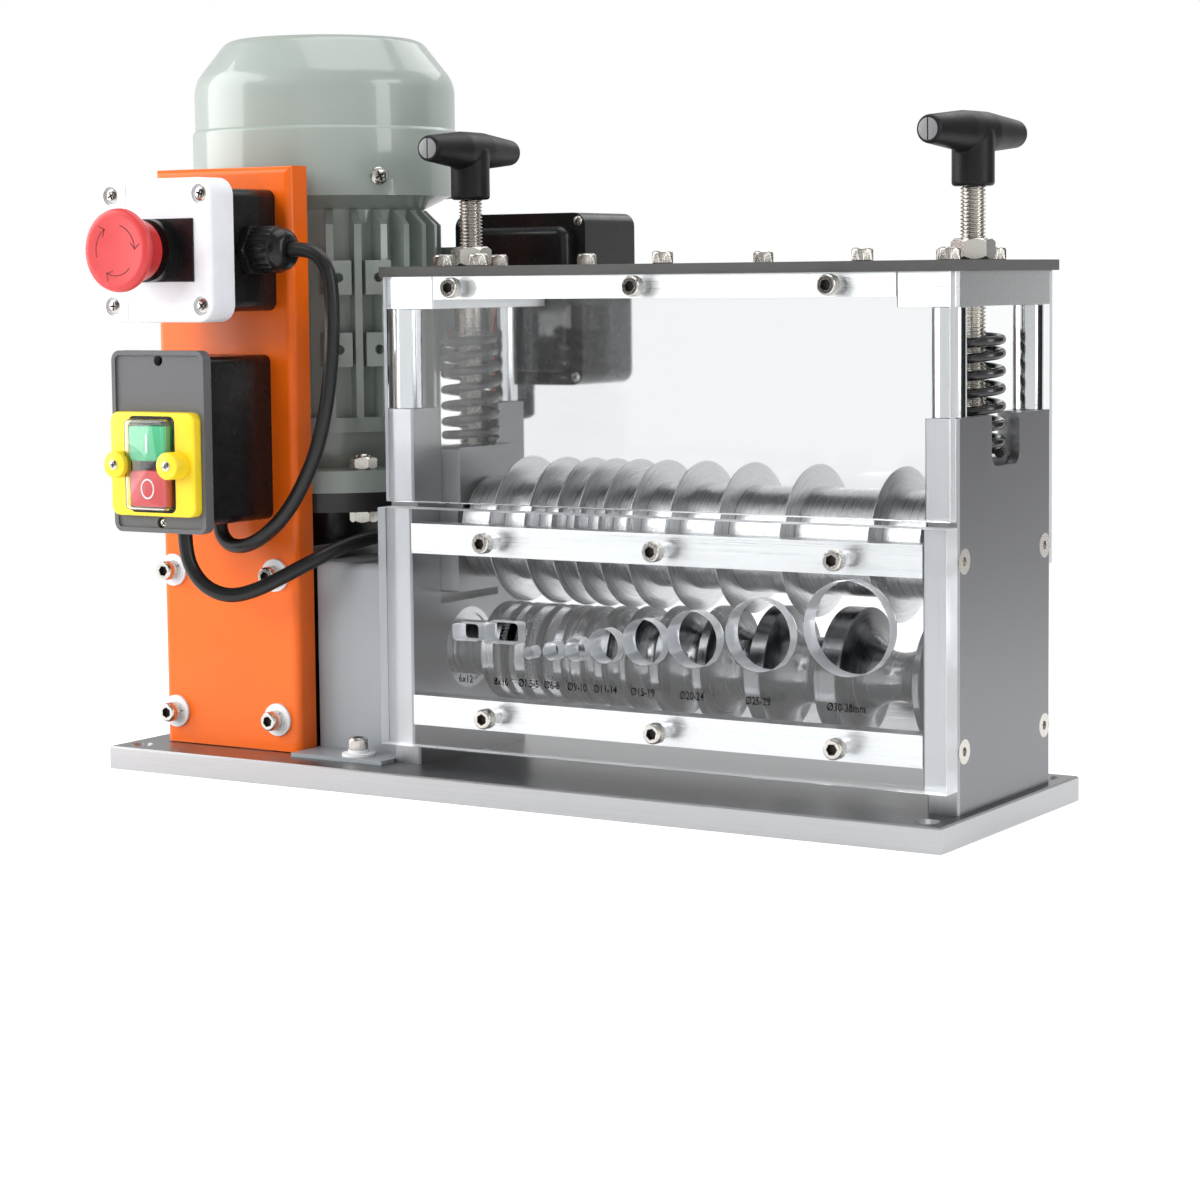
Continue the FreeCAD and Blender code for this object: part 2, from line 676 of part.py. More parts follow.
def head():
    """The two head blocks that the adjusting screws thread through, and the bars between them."""
    pieces = []
    for x0, screw_x in ((UNIT_LEFT, SCREW_X[0]), (UNIT_RIGHT - HEAD_BLOCK_LENGTH, SCREW_X[1])):
        shape = block(x0, x0 + HEAD_BLOCK_LENGTH, UNIT_FRONT, UNIT_BACK, HEAD_BOTTOM, HEAD_TOP)
        shape = shape.makeChamfer(END_PLATE_CHAMFER, [edge for edge in shape.Edges if along(edge, UP)])
        centre = V(screw_x, UNIT_MIDDLE_Y, HEAD_BOTTOM)
        shape = shape.cut(rod(SCREW + 2 * RUNNING, centre, UP, HEAD_BLOCK_THICK))
        for side in (-1, 1):
            place = V(screw_x, UNIT_MIDDLE_Y + side * BLOCK_SCREW_SPACING / 2, HEAD_TOP)
            shape = shape.cut(screw_hole(place, DOWN, HEAD_BLOCK_THICK - HEAD_BLOCK_HOLE_FLOOR))
        pieces.append(shape)
    x0 = UNIT_LEFT + HEAD_BLOCK_LENGTH
    x1 = UNIT_RIGHT - HEAD_BLOCK_LENGTH
    for y0, places in ((UNIT_FRONT, TOP_FRONT_SCREW_X), (UNIT_BACK - TIE_BAR_DEPTH, TOP_REAR_SCREW_X)):
        bar = block(x0, x1, y0, y0 + TIE_BAR_DEPTH, HEAD_TOP - HEAD_BAR_HEIGHT, HEAD_TOP)
        for x in places:
            bar = bar.cut(screw_hole(V(x, y0 + TIE_BAR_DEPTH / 2, HEAD_TOP), DOWN,
                                     HEAD_BAR_HEIGHT - HEAD_BAR_HOLE_FLOOR))
        pieces.append(bar)
    save("head_frame", *pieces)


def top_screw_places():
    """Where the cap screws stand on the top plate."""
    for x in TOP_FRONT_SCREW_X:
        yield x, UNIT_FRONT + TIE_BAR_DEPTH / 2
    for x in TOP_REAR_SCREW_X:
        yield x, UNIT_BACK - TIE_BAR_DEPTH / 2
    for x in SCREW_X:
        for side in (-1, 1):
            yield x, UNIT_MIDDLE_Y + side * BLOCK_SCREW_SPACING / 2


def top_plate():
    plate = block(UNIT_LEFT - TOP_PLATE_SIDE, UNIT_RIGHT + TOP_PLATE_SIDE, UNIT_FRONT - TOP_PLATE_FRONT,
                  UNIT_BACK + TOP_PLATE_BACK, HEAD_TOP, TOP_SURFACE)
    for x in SCREW_X:
        plate = plate.cut(rod(SCREW + 4 * FITTED, V(x, UNIT_MIDDLE_Y, HEAD_TOP), UP, TOP_PLATE_THICK))
    screws = []
    grip = TOP_PLATE_THICK + HEAD_BAR_HEIGHT - HEAD_BAR_HOLE_FLOOR - TOP_SCREW_END_GAP
    for x, y in top_screw_places():
        plate = plate.cut(screw_hole(V(x, y, HEAD_TOP), UP, TOP_PLATE_THICK))
        screws.append(cap_screw(V(x, y, TOP_SURFACE), UP, grip))
    save("top_plate", plate)
    save("top_plate_screws", *screws)


def lock_nuts():
    nuts = []
    for x in SCREW_X:
        seat = V(x, UNIT_MIDDLE_Y, TOP_SURFACE)
        nut = prism(6, LOCK_NUT_FLATS, seat, UP, LOCK_NUT_HEIGHT)
        corner = LOCK_NUT_FLATS / 2 / math.cos(math.pi / 6) + RUNNING
        rise = LOCK_NUT_HEIGHT
        step = LOCK_NUT_BEVEL
        bevel = turned([(0, 0), (0, corner - step), (step, corner), (rise - step, corner),
                        (rise, corner - step), (rise, 0)], seat, UP, RIGHT)
        nut = nut.common(bevel).cut(rod(SCREW + 2 * RUNNING, seat, UP, LOCK_NUT_HEIGHT))
        nuts.append(nut)
    save("lock_nuts", *nuts)


def bearing(inner_face, outward, z):
    """A shielded ball bearing seated in from an inner face."""
    width = BEARING_WIDTH
    inside = SHAFT / 2 + RUNNING
    outside = BEARING_OUTSIDE / 2
    ring = BEARING_RING
    inset = BEARING_SHIELD_INSET
    profile = [(0, inside), (0, inside + ring), (inset, inside + ring), (inset, outside - ring),
               (0, outside - ring), (0, outside), (width, outside), (width, inside)]
    return turned(profile, V(inner_face, UNIT_MIDDLE_Y, z), V(outward, 0, 0), UP)


def lower_bearings():
    save("lower_bearings", bearing(INNER_LEFT, -1, FEED_Z), bearing(INNER_RIGHT, 1, FEED_Z))


def guide_opening(channel):
    """The cutter for one cable's way in through the guide panel."""
    y = UNIT_FRONT - GUIDE_PANEL_THICK
    if channel in FLAT_CHANNELS:
        x, width, height, z, _ = channel
        return rounded_block(x - width / 2, x + width / 2, y, UNIT_FRONT, z - height / 2, z + height / 2,
                             SLOT_CORNER, BACK)
    x, diameter, _ = channel
    z = ROUND_HOLE_LOWEST + ROUND_HOLE_RISE * diameter
    return rod(diameter, V(x, y, z), BACK, GUIDE_PANEL_THICK)


def guide_panel():
    """The thick clear panel with one sized opening before each slitting disc."""
    front = UNIT_FRONT - GUIDE_PANEL_THICK
    screws = []
    panel = block(UNIT_LEFT + PANEL_SIDE, UNIT_RIGHT - PANEL_SIDE, front, UNIT_FRONT,
                  GUIDE_PANEL_BOTTOM, GUIDE_PANEL_TOP)
    for channel in FLAT_CHANNELS + ROUND_CHANNELS:
        panel = panel.cut(guide_opening(channel))
    for z in (LOWER_TIE_Z + TIE_BAR_HEIGHT / 2, UPPER_TIE_Z + TIE_BAR_HEIGHT / 2):
        for x in GUIDE_SCREW_X:
            panel = panel.cut(screw_hole(V(x, front, z), BACK, GUIDE_PANEL_THICK))
            grip = GUIDE_PANEL_THICK + TIE_BAR_DEPTH - SCREW_END_GAP
            screws.append(cap_screw(V(x, front, z), FRONT, grip))
    save("guide_panel", panel)
    return screws


def guards():
    """The clear guards above the guide panel and behind the rollers."""
    front = UNIT_FRONT - UPPER_GUARD_THICK
    guard = block(UNIT_LEFT + UPPER_GUARD_SIDE, UNIT_RIGHT - UPPER_GUARD_SIDE, front, UNIT_FRONT,
                  UPPER_GUARD_BOTTOM, HEAD_TOP)
    rear = UNIT_BACK + REAR_GUARD_THICK
    rear_guard = block(UNIT_LEFT + UPPER_GUARD_SIDE, UNIT_RIGHT - PANEL_SIDE, UNIT_BACK, rear,
                       REAR_GUARD_BOTTOM, HEAD_TOP)
    z = HEAD_TOP - HEAD_BAR_HEIGHT / 2
    low_z = UPPER_TIE_Z + TIE_BAR_HEIGHT / 2
    screws = []
    for x in GUARD_SCREW_X:
        guard = guard.cut(screw_hole(V(x, front, z), BACK, UPPER_GUARD_THICK))
        screws.append(cap_screw(V(x, front, z), FRONT, UPPER_GUARD_THICK))
        rear_guard = rear_guard.cut(screw_hole(V(x, rear, low_z), FRONT, REAR_GUARD_THICK))
        screws.append(cap_screw(V(x, rear, low_z), BACK, REAR_GUARD_THICK))
    save("upper_front_guard", guard)
    save("rear_guard", rear_guard)
    return screws


def land_radius(x):
    """The feed roller's outside radius, which grows towards the thicker cables on the right."""
    share = (x - LAND_TAPER_START) / (LAND_TAPER_END - LAND_TAPER_START)
    share = min(1.0, max(0.0, share))
    return (LAND_LEFT + share * (LAND_RIGHT - LAND_LEFT)) / 2


def feed_roller():
    """The driven roller: round grooves for round cables, and toothed rims for flat ones, on one shaft."""
    axis_point = V(0, UNIT_MIDDLE_Y, FEED_Z)
    left = INNER_LEFT + FEED_FROM_LEFT - END_PLATE_THICK
    right = INNER_RIGHT + END_PLATE_THICK - FEED_FROM_RIGHT
    first = V(left, 0, 0)
    last = V(left, 0, land_radius(left))
    lines = [Part.LineSegment(first, last)]
    for x, _, half in ROUND_CHANNELS:
        level = land_radius(x - half)
        land = V(x - half, 0, level)
        if abs(last.z - level) > 0.01:
            step = V(last.x, 0, level)
            lines.append(Part.LineSegment(last, step))
            last = step
        lines.append(Part.LineSegment(last, land))
        floor = V(x, 0, level - half)
        end = V(x + half, 0, level)
        lines.append(Part.Arc(land, floor, end))
        last = end
    corner = V(right, 0, land_radius(right))
    if abs(last.z - corner.z) > 0.01:
        step = V(last.x, 0, corner.z)
        lines.append(Part.LineSegment(last, step))
        last = step
    lines.append(Part.LineSegment(last, corner))
    foot = V(right, 0, 0)
    lines.append(Part.LineSegment(corner, foot))
    lines.append(Part.LineSegment(foot, first))
    wire = Part.Wire([line.toShape() for line in lines])
    body = Part.Face(wire).revolve(V(0, 0, 0), RIGHT, 360)
    body.translate(axis_point)
    for x, _, _, _, half in FLAT_CHANNELS:
        width = DISC_THICK + 2 * DISC_SLOT_SIDE
        band = tube(LAND_LEFT + 2 * OVERCUT, RIM_CORE, axis_point + V(x - half, 0, 0), RIGHT, 2 * half)
        slot_left = axis_point + V(x - width / 2, 0, 0)
        slot = tube(LAND_LEFT + 2 * OVERCUT, DISC_SLOT_FLOOR, slot_left, RIGHT, width)
        body = body.cut(band).cut(slot)
        rim = toothed_ring(half - width / 2)
        for start in (x - half, x + width / 2):
            piece = rim.copy()
            piece.translate(axis_point + V(start, 0, 0))
            body = body.fuse(piece)
    shaft_left = COUPLING_MIDDLE
    shaft_right = INNER_RIGHT + BEARING_WIDTH - FITTED
    shaft = rod(SHAFT, V(shaft_left, UNIT_MIDDLE_Y, FEED_Z), RIGHT, shaft_right - shaft_left)
    gap = SLIDING
    shoulder_left = V(INNER_LEFT + gap, UNIT_MIDDLE_Y, FEED_Z)
    shoulder = rod(SHOULDER, shoulder_left, RIGHT, INNER_RIGHT - INNER_LEFT - 2 * gap)
    shoulder = shoulder.cut(block(left, right, UNIT_FRONT, UNIT_BACK, BASE_TOP, PLATE_TOP))
    save("feed_roller", body.fuse([shaft, shoulder]))


def toothed_ring(width):
    """One serrated rim of the feed roller, its teeth along the roller."""
    tip = LAND_LEFT / 2
    root = tip - TOOTH_DEPTH
    corners = []
    for i in range(TOOTH_COUNT):
        for radius, part in ((root, 0.0), (tip, 0.5)):
            angle = 2 * math.pi * (i + part) / TOOTH_COUNT
            corners.append(V(0, radius * math.cos(angle), radius * math.sin(angle)))
    ring = Part.Face(Part.makePolygon(corners + [corners[0]])).extrude(V(width, 0, 0))
    return ring.cut(rod(RIM_CORE - OVERLAP, V(0, 0, 0), RIGHT, width))


def slitting_disc(x):
    """A round blade sharpened from both sides."""
    half = DISC_THICK / 2
    edge = DISC_EDGE / 2
    radius = DISC / 2
    bore = SHAFT / 2 + RUNNING
    profile = [(-half, bore), (-half, radius - DISC_BEVEL), (-edge, radius), (edge, radius),
               (half, radius - DISC_BEVEL), (half, bore)]
    return turned(profile, V(x, UNIT_MIDDLE_Y, BLADE_Z), RIGHT, UP)


def blade_roller():
    """The idle roller: a shaft with slitting discs clamped between spacers."""
    left = INNER_LEFT + SPACER_FROM_LEFT - END_PLATE_THICK
    right = INNER_RIGHT + END_PLATE_THICK - SPACER_FROM_RIGHT
    reach = BLOCK_LENGTH - CHANNEL_DEPTH
    shaft_left = INNER_LEFT + reach - BEARING_WIDTH
    shaft_right = INNER_RIGHT - reach + BEARING_WIDTH
    shaft = rod(SHAFT, V(shaft_left, UNIT_MIDDLE_Y, BLADE_Z), RIGHT, shaft_right - shaft_left)
    save("blade_shaft", shaft)
    save("slitting_discs", *[slitting_disc(x) for x in DISC_X])
    spacers = []
    start = left
    for stop in DISC_X + (None,):
        end = right if stop is None else stop - DISC_THICK / 2
        place = V(start, UNIT_MIDDLE_Y, BLADE_Z)
        spacers.append(tube(SPACER, SHAFT + 2 * RUNNING, place, RIGHT, end - start))
        start = end + DISC_THICK
    save("blade_spacers", *spacers)


def bearing_block(name, inner, outward, screw_x):
    """A block that slides in an end plate's channel and carries one end of the blade roller."""
    outer = inner + outward * (CHANNEL_DEPTH - SLIDING)
    reach = outer - outward * (BLOCK_LENGTH - SLIDING)
    low, high = sorted((outer, reach))
    half = CHANNEL_WIDTH / 2 - SLIDING
    shape = block(low, high, UNIT_MIDDLE_Y - half, UNIT_MIDDLE_Y + half,
                  BLADE_Z - BLOCK_BOTTOM_DROP, BLOCK_TOP)
    shape = shape.makeChamfer(END_PLATE_CHAMFER, [edge for edge in shape.Edges if along(edge, RIGHT)])
    out = V(outward, 0, 0)
    shape = shape.cut(rod(BEARING_OUTSIDE, V(reach, UNIT_MIDDLE_Y, BLADE_Z), out, BEARING_WIDTH))
    screw_end = V(screw_x, UNIT_MIDDLE_Y, BLOCK_TOP)
    shape = shape.cut(rod(SCREW + 2 * RUNNING, screw_end, DOWN, BLOCK_SCREW_DEPTH))
    save(name, shape)
    return bearing(reach, outward, BLADE_Z)


def blade_carriage():
    left = bearing_block("left_bearing_block", INNER_LEFT, -1, SCREW_X[0])
    right = bearing_block("right_bearing_block", INNER_RIGHT, 1, SCREW_X[1])
    save("upper_bearings", left, right)


def arc_from(start, heading, end):
    """The arc that leaves a point in a given direction and ends at another point."""
    chord = end - start
    run = V(chord).normalize()
    turn = math.acos(max(-1.0, min(1.0, heading.dot(run))))
    side = (heading - run * heading.dot(run)).normalize()
    crown = (start + end) * 0.5 + side * (chord.Length / 2 * math.tan(turn / 2))
    return Part.Arc(start, crown, end).toShape()


def biarc(start, heading, end, heading_end):
    """Two arcs that join two points and keep the direction at each."""
    span = end - start
    total = heading + heading_end
    bend = 2 * (1 - heading.dot(heading_end))
    push = span.dot(total)
    reach = (-push + math.sqrt(push * push + bend * span.dot(span))) / bend
    joint = (start + end + (heading - heading_end) * reach) * 0.5
    first = arc_from(start, heading, joint)
    back = arc_from(end, heading_end * -1, joint)
    return [first, back]


def spring_height(turn, turns, rise):
    """Height of the wire's middle after some turns, with a closed turn at each end."""
    if turn <= 1:
        return turn * SPRING_CLOSED_PITCH
    if turn >= turns - 1:
        return rise - (turns - turn) * SPRING_CLOSED_PITCH
    pitch = (rise - 2 * SPRING_CLOSED_PITCH) / (turns - 2)
    return SPRING_CLOSED_PITCH + (turn - 1) * pitch


def spring(name, x):
    """A black compression spring round an adjusting screw, standing on its bearing block."""
    turns = SPRING_ACTIVE_TURNS + 2
    rise = SPRING_LENGTH - SPRING_WIRE
    radius = SPRING_MEAN / 2
    centre = V(x, UNIT_MIDDLE_Y, BLOCK_TOP + SPRING_WIRE / 2)
    points = []
    steps = int(round(turns * 2))
    for i in range(steps + 1):
        turn = i * turns / steps
        angle = 2 * math.pi * turn
        height = spring_height(turn, turns, rise)
        points.append((turn, centre + V(radius * math.cos(angle), radius * math.sin(angle), height)))
    headings = []
    for turn, _ in points:
        angle = 2 * math.pi * turn
        before = spring_height(max(turn - 0.25, 0), turns, rise)
        after = spring_height(min(turn + 0.25, turns), turns, rise)
        step = min(turn + 0.25, turns) - max(turn - 0.25, 0)
        climb = (after - before) / step / (2 * math.pi * radius)
        headings.append(V(-math.sin(angle), math.cos(angle), climb).normalize())
    edges = []
    for i in range(steps):
        edges.extend(biarc(points[i][1], headings[i], points[i + 1][1], headings[i + 1]))
    path = Part.Wire(Part.__sortEdges__(edges))
    section = Part.makePolygon(ring_points(points[0][1], headings[0], SPRING_WIRE, WIRE_SIDES))
    shape = path.makePipeShell([section], True, False)
    print(name, "least gap to itself", round(spring_gap(turns, rise), 2))
    save(name, shape)


def ring_points(centre, heading, width, sides):
    """The corners of a closed regular polygon square to a direction, of about a round bar's area."""
    across = heading.cross(UP)
    if across.Length < 0.01:
        across = V(1, 0, 0)
    across.normalize()
    upward = across.cross(heading).normalize()
    radius = width / 2 / math.cos(math.pi / sides)
    corners = []
    for i in range(sides + 1):
        angle = 2 * math.pi * (i % sides + 0.5) / sides
        corners.append(centre + across * (radius * math.cos(angle)) + upward * (radius * math.sin(angle)))
    return corners


def spring_gap(turns, rise):
    """The least gap between the spring's wire and the same wire one turn on."""
    gaps = []
    for i in range(int(turns * 24) - 23):
        turn = i / 24
        climb = spring_height(turn + 1, turns, rise) - spring_height(turn, turns, rise)
        gaps.append(climb - SPRING_WIRE)
    return min(gaps)


def adjusting_screw(side, x, turn):
    """A threaded rod that ends in its bearing block, and the T-handle on its top."""
    foot = V(x, UNIT_MIDDLE_Y, BLOCK_TOP - BLOCK_SCREW_DEPTH + SLIDING)
    top = HUB_BOTTOM + HUB_SCREW_DEPTH
    save(side + "_screw", rod(SCREW, foot, UP, top - foot.z))
    centre = V(x, UNIT_MIDDLE_Y, BAR_Z)
    half = HANDLE_LENGTH / 2
    end = HANDLE_END / 2
    waist = HANDLE_MIDDLE / 2
    bulge = HUB / 2
    profile = [(-half, 0), (-half, end), (-bulge, waist), (bulge, waist), (half, end), (half, 0)]
    bar = turned(profile, V(0, 0, 0), RIGHT, UP)
    bar = rounded(bar, HANDLE_END_ROUND, lambda edge: is_ring(edge) and abs(edge.CenterOfMass.x) > half - 1)
    bar.rotate(V(0, 0, 0), UP, turn)
    bar.translate(centre)
    hub = rod(HUB, V(x, UNIT_MIDDLE_Y, HUB_BOTTOM), UP, HUB_TO_BAR)
    foot_edges = [edge for edge in hub.Edges if abs(middle(edge).z - HUB_BOTTOM) < 0.01]
    hub = hub.makeChamfer(HUB_CHAMFER, foot_edges)
    handle = bar.fuse(hub)
    handle = handle.cut(rod(SCREW, V(x, UNIT_MIDDLE_Y, HUB_BOTTOM), UP, HUB_SCREW_DEPTH))
    save(side + "_handle", handle)


def gearbox():
    """The worm gearbox's casting, its side cover and its input flange."""
    back = MOTOR_Y + GEARBOX_BACK_FROM_WORM
    case = rounded_block(GEARBOX_LEFT, GEARBOX_RIGHT, GEARBOX_FRONT, back, GEARBOX_BOTTOM, GEARBOX_TOP,
                         GEARBOX_ROUND, RIGHT)
    for y in (GEARBOX_FRONT + GEARBOX_ROUND / 2, back - FOOT_LENGTH - GEARBOX_ROUND / 2):
        for x in (GEARBOX_LEFT, GEARBOX_RIGHT - FOOT_LENGTH):
            case = case.fuse(block(x, x + FOOT_LENGTH, y, y + FOOT_LENGTH, BASE_TOP,
                                   GEARBOX_BOTTOM + OVERLAP))
    barrel_bottom = GEARBOX_TOP - BARREL_OVERLAP
    barrel = rod(WORM_BARREL, V(MOTOR_X, MOTOR_Y, barrel_bottom), UP, INPUT_FLANGE_BOTTOM - barrel_bottom)
    wheel_axis = V(GEARBOX_RIGHT, UNIT_MIDDLE_Y, FEED_Z)
    boss = rod(SIDE_BOSS, wheel_axis, RIGHT, SIDE_BOSS_THICK)
    case = case.fuse([barrel, boss])
    cavity_right = V(MOTOR_X + GEAR_CAVITY_WIDTH / 2, UNIT_MIDDLE_Y, FEED_Z)
    case = case.cut(rod(GEAR_CAVITY, cavity_right, LEFT, cavity_right.x - GEARBOX_LEFT))
    case = case.cut(rod(GEAR_HUB + 2 * RUNNING, wheel_axis + RIGHT * SIDE_BOSS_THICK, LEFT, GEARBOX_WIDTH))
    shaft_floor = V(MOTOR_X, MOTOR_Y, WORM_CAVITY_BOTTOM)
    case = case.cut(rod(WORM_CAVITY, shaft_floor, UP, INPUT_FLANGE_BOTTOM - WORM_CAVITY_BOTTOM))
    for x in PANEL_SCREW_X:
        for z in PANEL_SCREW_Z:
            case = case.cut(screw_hole(V(x, GEARBOX_FRONT, z), BACK, CASE_SCREW_DEPTH))
    save("gearbox_case", case)
    left_axis = V(GEARBOX_LEFT, UNIT_MIDDLE_Y, FEED_Z)
    cover = rod(SIDE_COVER, left_axis, LEFT, SIDE_COVER_THICK)
    cover = cover.fuse(rod(GEAR_CAVITY - 2 * FITTED, left_axis, RIGHT, SIDE_COVER_SPIGOT))
    cover = cover.cut(rod(GEAR_HUB + 2 * RUNNING, left_axis - RIGHT * SIDE_COVER_THICK, RIGHT,
                          SIDE_COVER_THICK + SIDE_COVER_SPIGOT))
    save("gearbox_side_cover", cover)
    flange = rod(FLANGE, V(MOTOR_X, MOTOR_Y, INPUT_FLANGE_BOTTOM), UP, INPUT_FLANGE_THICK)
    flange = flange.cut(rod(WORM_CAVITY, V(MOTOR_X, MOTOR_Y, INPUT_FLANGE_BOTTOM), UP, INPUT_FLANGE_THICK))
    for place in flange_bolt_places():
        hole = V(place.x, place.y, INPUT_FLANGE_BOTTOM)
        flange = flange.cut(rod(FLANGE_BOLT + FITTED, hole, UP, INPUT_FLANGE_THICK))
    save("gearbox_input_flange", flange)


def flange_bolt_places():
    for i in range(4):
        angle = math.radians(FLANGE_TURN + 90 * i)
        yield V(MOTOR_X + FLANGE_BOLTS / 2 * math.cos(angle), MOTOR_Y + FLANGE_BOLTS / 2 * math.sin(angle), 0)


def flange_bolts():
    bolts = []
    height = FLANGE_NUT_HEIGHT
    for place in flange_bolt_places():
        bottom = V(place.x, place.y, INPUT_FLANGE_BOTTOM)
        bolt = prism(6, FLANGE_NUT_FLATS, bottom, DOWN, height)
        grip = INPUT_FLANGE_THICK + MOTOR_FLANGE_THICK
        bolt = bolt.fuse(shank(FLANGE_BOLT - FITTED, bottom, UP, grip + height + FLANGE_BOLT_END))
        bolt = bolt.fuse(prism(6, FLANGE_NUT_FLATS, bottom + UP * grip, UP, height))
        bolts.append(bolt)
    save("flange_bolts", *bolts)


def output_train():
    """The worm wheel, and the output shaft with the coupling that drives the feed roller."""
    axis_point = V(MOTOR_X - WHEEL_WIDTH / 2, UNIT_MIDDLE_Y, FEED_Z)
    tip = WHEEL_TIP / 2
    root = tip - WHEEL_TOOTH_DEPTH
    corners = []
    for i in range(WHEEL_TEETH):
        for radius, part in ((root, 0.0), (root, 0.3), (tip, 0.45), (tip, 0.85)):
            angle = 2 * math.pi * (i + part) / WHEEL_TEETH
            corners.append(axis_point + V(0, radius * math.cos(angle), radius * math.sin(angle)))
    wheel = Part.Face(Part.makePolygon(corners + [corners[0]])).extrude(V(WHEEL_WIDTH, 0, 0))
    hub_left = GEARBOX_LEFT - SIDE_COVER_THICK
    hub_right = GEARBOX_RIGHT + SIDE_BOSS_THICK
    hub_start = V(hub_left, UNIT_MIDDLE_Y, FEED_Z)
    wheel = wheel.fuse(rod(GEAR_HUB, hub_start, RIGHT, hub_right - hub_left))
    wheel = wheel.cut(rod(OUTPUT_SHAFT, hub_start, RIGHT, hub_right - hub_left))
    save("worm_wheel", wheel)
    shaft = rod(OUTPUT_SHAFT, hub_start, RIGHT, COUPLING_MIDDLE - SLIDING - hub_left)
    sleeve_left = COUPLING_MIDDLE - COUPLING_LENGTH / 2
    sleeve = rod(COUPLING, V(sleeve_left, UNIT_MIDDLE_Y, FEED_Z), RIGHT, COUPLING_LENGTH)
    sleeve = sleeve.makeChamfer(COUPLING_CHAMFER, [edge for edge in sleeve.Edges if is_ring(edge)])
    sleeve = sleeve.cut(rod(OUTPUT_SHAFT, V(sleeve_left, UNIT_MIDDLE_Y, FEED_Z), RIGHT, COUPLING_LENGTH / 2))
    sleeve = sleeve.cut(rod(SHAFT, V(COUPLING_MIDDLE, UNIT_MIDDLE_Y, FEED_Z), RIGHT, COUPLING_LENGTH / 2))
    save("output_shaft", shaft)
    save("shaft_coupling", sleeve)


def motor_axis(z):
    return V(MOTOR_X, MOTOR_Y, z)


def motor_flange():
    """The motor's cast front shield, from its bolted flange up to the finned body."""
    top = MOTOR_FLANGE_TOP - INPUT_FLANGE_TOP
    neck = MOTOR_NECK_TOP - INPUT_FLANGE_TOP
    bore = MOTOR_SHAFT / 2 + RUNNING
    wide = FLANGE / 2
    waist = MOTOR_NECK / 2
    low_waist = waist - MOTOR_WAIST_STEP
    band = neck - MOTOR_NECK_BAND
    shield = neck - MOTOR_SHIELD_RISE
    profile = [(0, bore), (0, wide), (top, wide), (top, low_waist), (band, low_waist + MOTOR_WAIST_DRAFT),
               (band, waist), (neck, waist), (neck, MOTOR_BORE / 2), (shield, MOTOR_BORE / 2), (shield, bore)]
    shape = turned(profile, motor_axis(INPUT_FLANGE_TOP), UP, RIGHT)
    for place in flange_bolt_places():
        hole = V(place.x, place.y, INPUT_FLANGE_TOP)
        shape = shape.cut(rod(FLANGE_BOLT + FITTED, hole, UP, MOTOR_FLANGE_THICK))
    save("motor_flange", shape)


def motor_frame():
    """The finned motor body, with pads for feet, the seat of the fan cowl and the terminal box's neck."""
    body = tube(MOTOR_BODY, MOTOR_BORE, motor_axis(MOTOR_NECK_TOP), UP, FIN_TOP - MOTOR_NECK_TOP)
    inner = MOTOR_BODY / 2 - OVERLAP
    outer = MOTOR_FINS / 2
    base = MOTOR_NECK_TOP
    half = FIN_THICK / 2
    outline = [V(inner, -half, base), V(outer, -half, base), V(outer, -half, FIN_TOP - FIN_SLOPE),
               V(outer - FIN_SLOPE, -half, FIN_TOP), V(inner, -half, FIN_TOP)]
    fin = Part.Face(Part.makePolygon(outline + [outline[0]])).extrude(V(0, FIN_THICK, 0))
    pieces = []
    for i in range(FIN_COUNT):
        piece = fin.copy()
        piece.rotate(V(0, 0, 0), UP, FOOT_PAD_SIDES[0] + 360 * i / FIN_COUNT)
        piece.translate(motor_axis(0))
        pieces.append(piece)
    for side in FOOT_PAD_SIDES:
        for column in FOOT_PAD_COLUMNS:
            for z in FOOT_PAD_ROWS:
                pieces.append(foot_pad(side, column, z))
    pieces.append(end_bell())
    middle_y = BOX_FRONT + BOX_DEPTH / 2
    neck = block(MOTOR_X, BOX_LEFT, middle_y - BOX_NECK_DEPTH / 2, middle_y + BOX_NECK_DEPTH / 2,
                 BOX_NECK_BOTTOM, BOX_NECK_BOTTOM + BOX_NECK_HEIGHT)
    neck = neck.cut(rod(MOTOR_BODY - 2 * OVERLAP, motor_axis(MOTOR_NECK_TOP), UP, FIN_TOP - MOTOR_NECK_TOP))
    pieces.append(neck)
    stator = tube(MOTOR_BORE, STATOR_INSIDE, motor_axis(ROTOR_BOTTOM), UP, ROTOR_TOP - ROTOR_BOTTOM)
    save("motor_frame", body.fuse(pieces), stator)


def end_bell():
    """The motor's rear bearing shield, whose rim the fan cowl fits over."""
    bore = MOTOR_SHAFT / 2 + RUNNING
    rim = COWL_SKIRT / 2 - COWL_SHEET - FITTED
    low = END_BELL_RISE
    high = END_BELL_RISE + END_BELL_RIM
    profile = [(0, MOTOR_BORE / 2), (0, MOTOR_BODY / 2), (low, rim), (high, rim), (high, bore),
               (high - END_BELL_THICK, bore), (low / 2, MOTOR_BORE / 2)]
    return turned(profile, motor_axis(FIN_TOP), UP, RIGHT)


def foot_pad(side, column, z):
    """One flat cast pad with a hole, where a motor foot could be screwed on."""
    half = FOOT_PAD_WIDTH / 2
    rise = FOOT_PAD_HEIGHT / 2
    offset = FOOT_PAD_RADIUS * math.sin(math.radians(column))
    root = MOTOR_BODY / 2 - 2 * OVERLAP
    pad = block(root, FOOT_PAD_RADIUS, offset - half, offset + half, z - rise, z + rise)
    hole = rod(FOOT_PAD_HOLE, V(FOOT_PAD_RADIUS, offset, z), LEFT, FOOT_PAD_HOLE_DEPTH)
    pad = pad.cut(hole)
    pad.rotate(V(0, 0, 0), UP, side)
    pad.translate(motor_axis(0))
    return pad


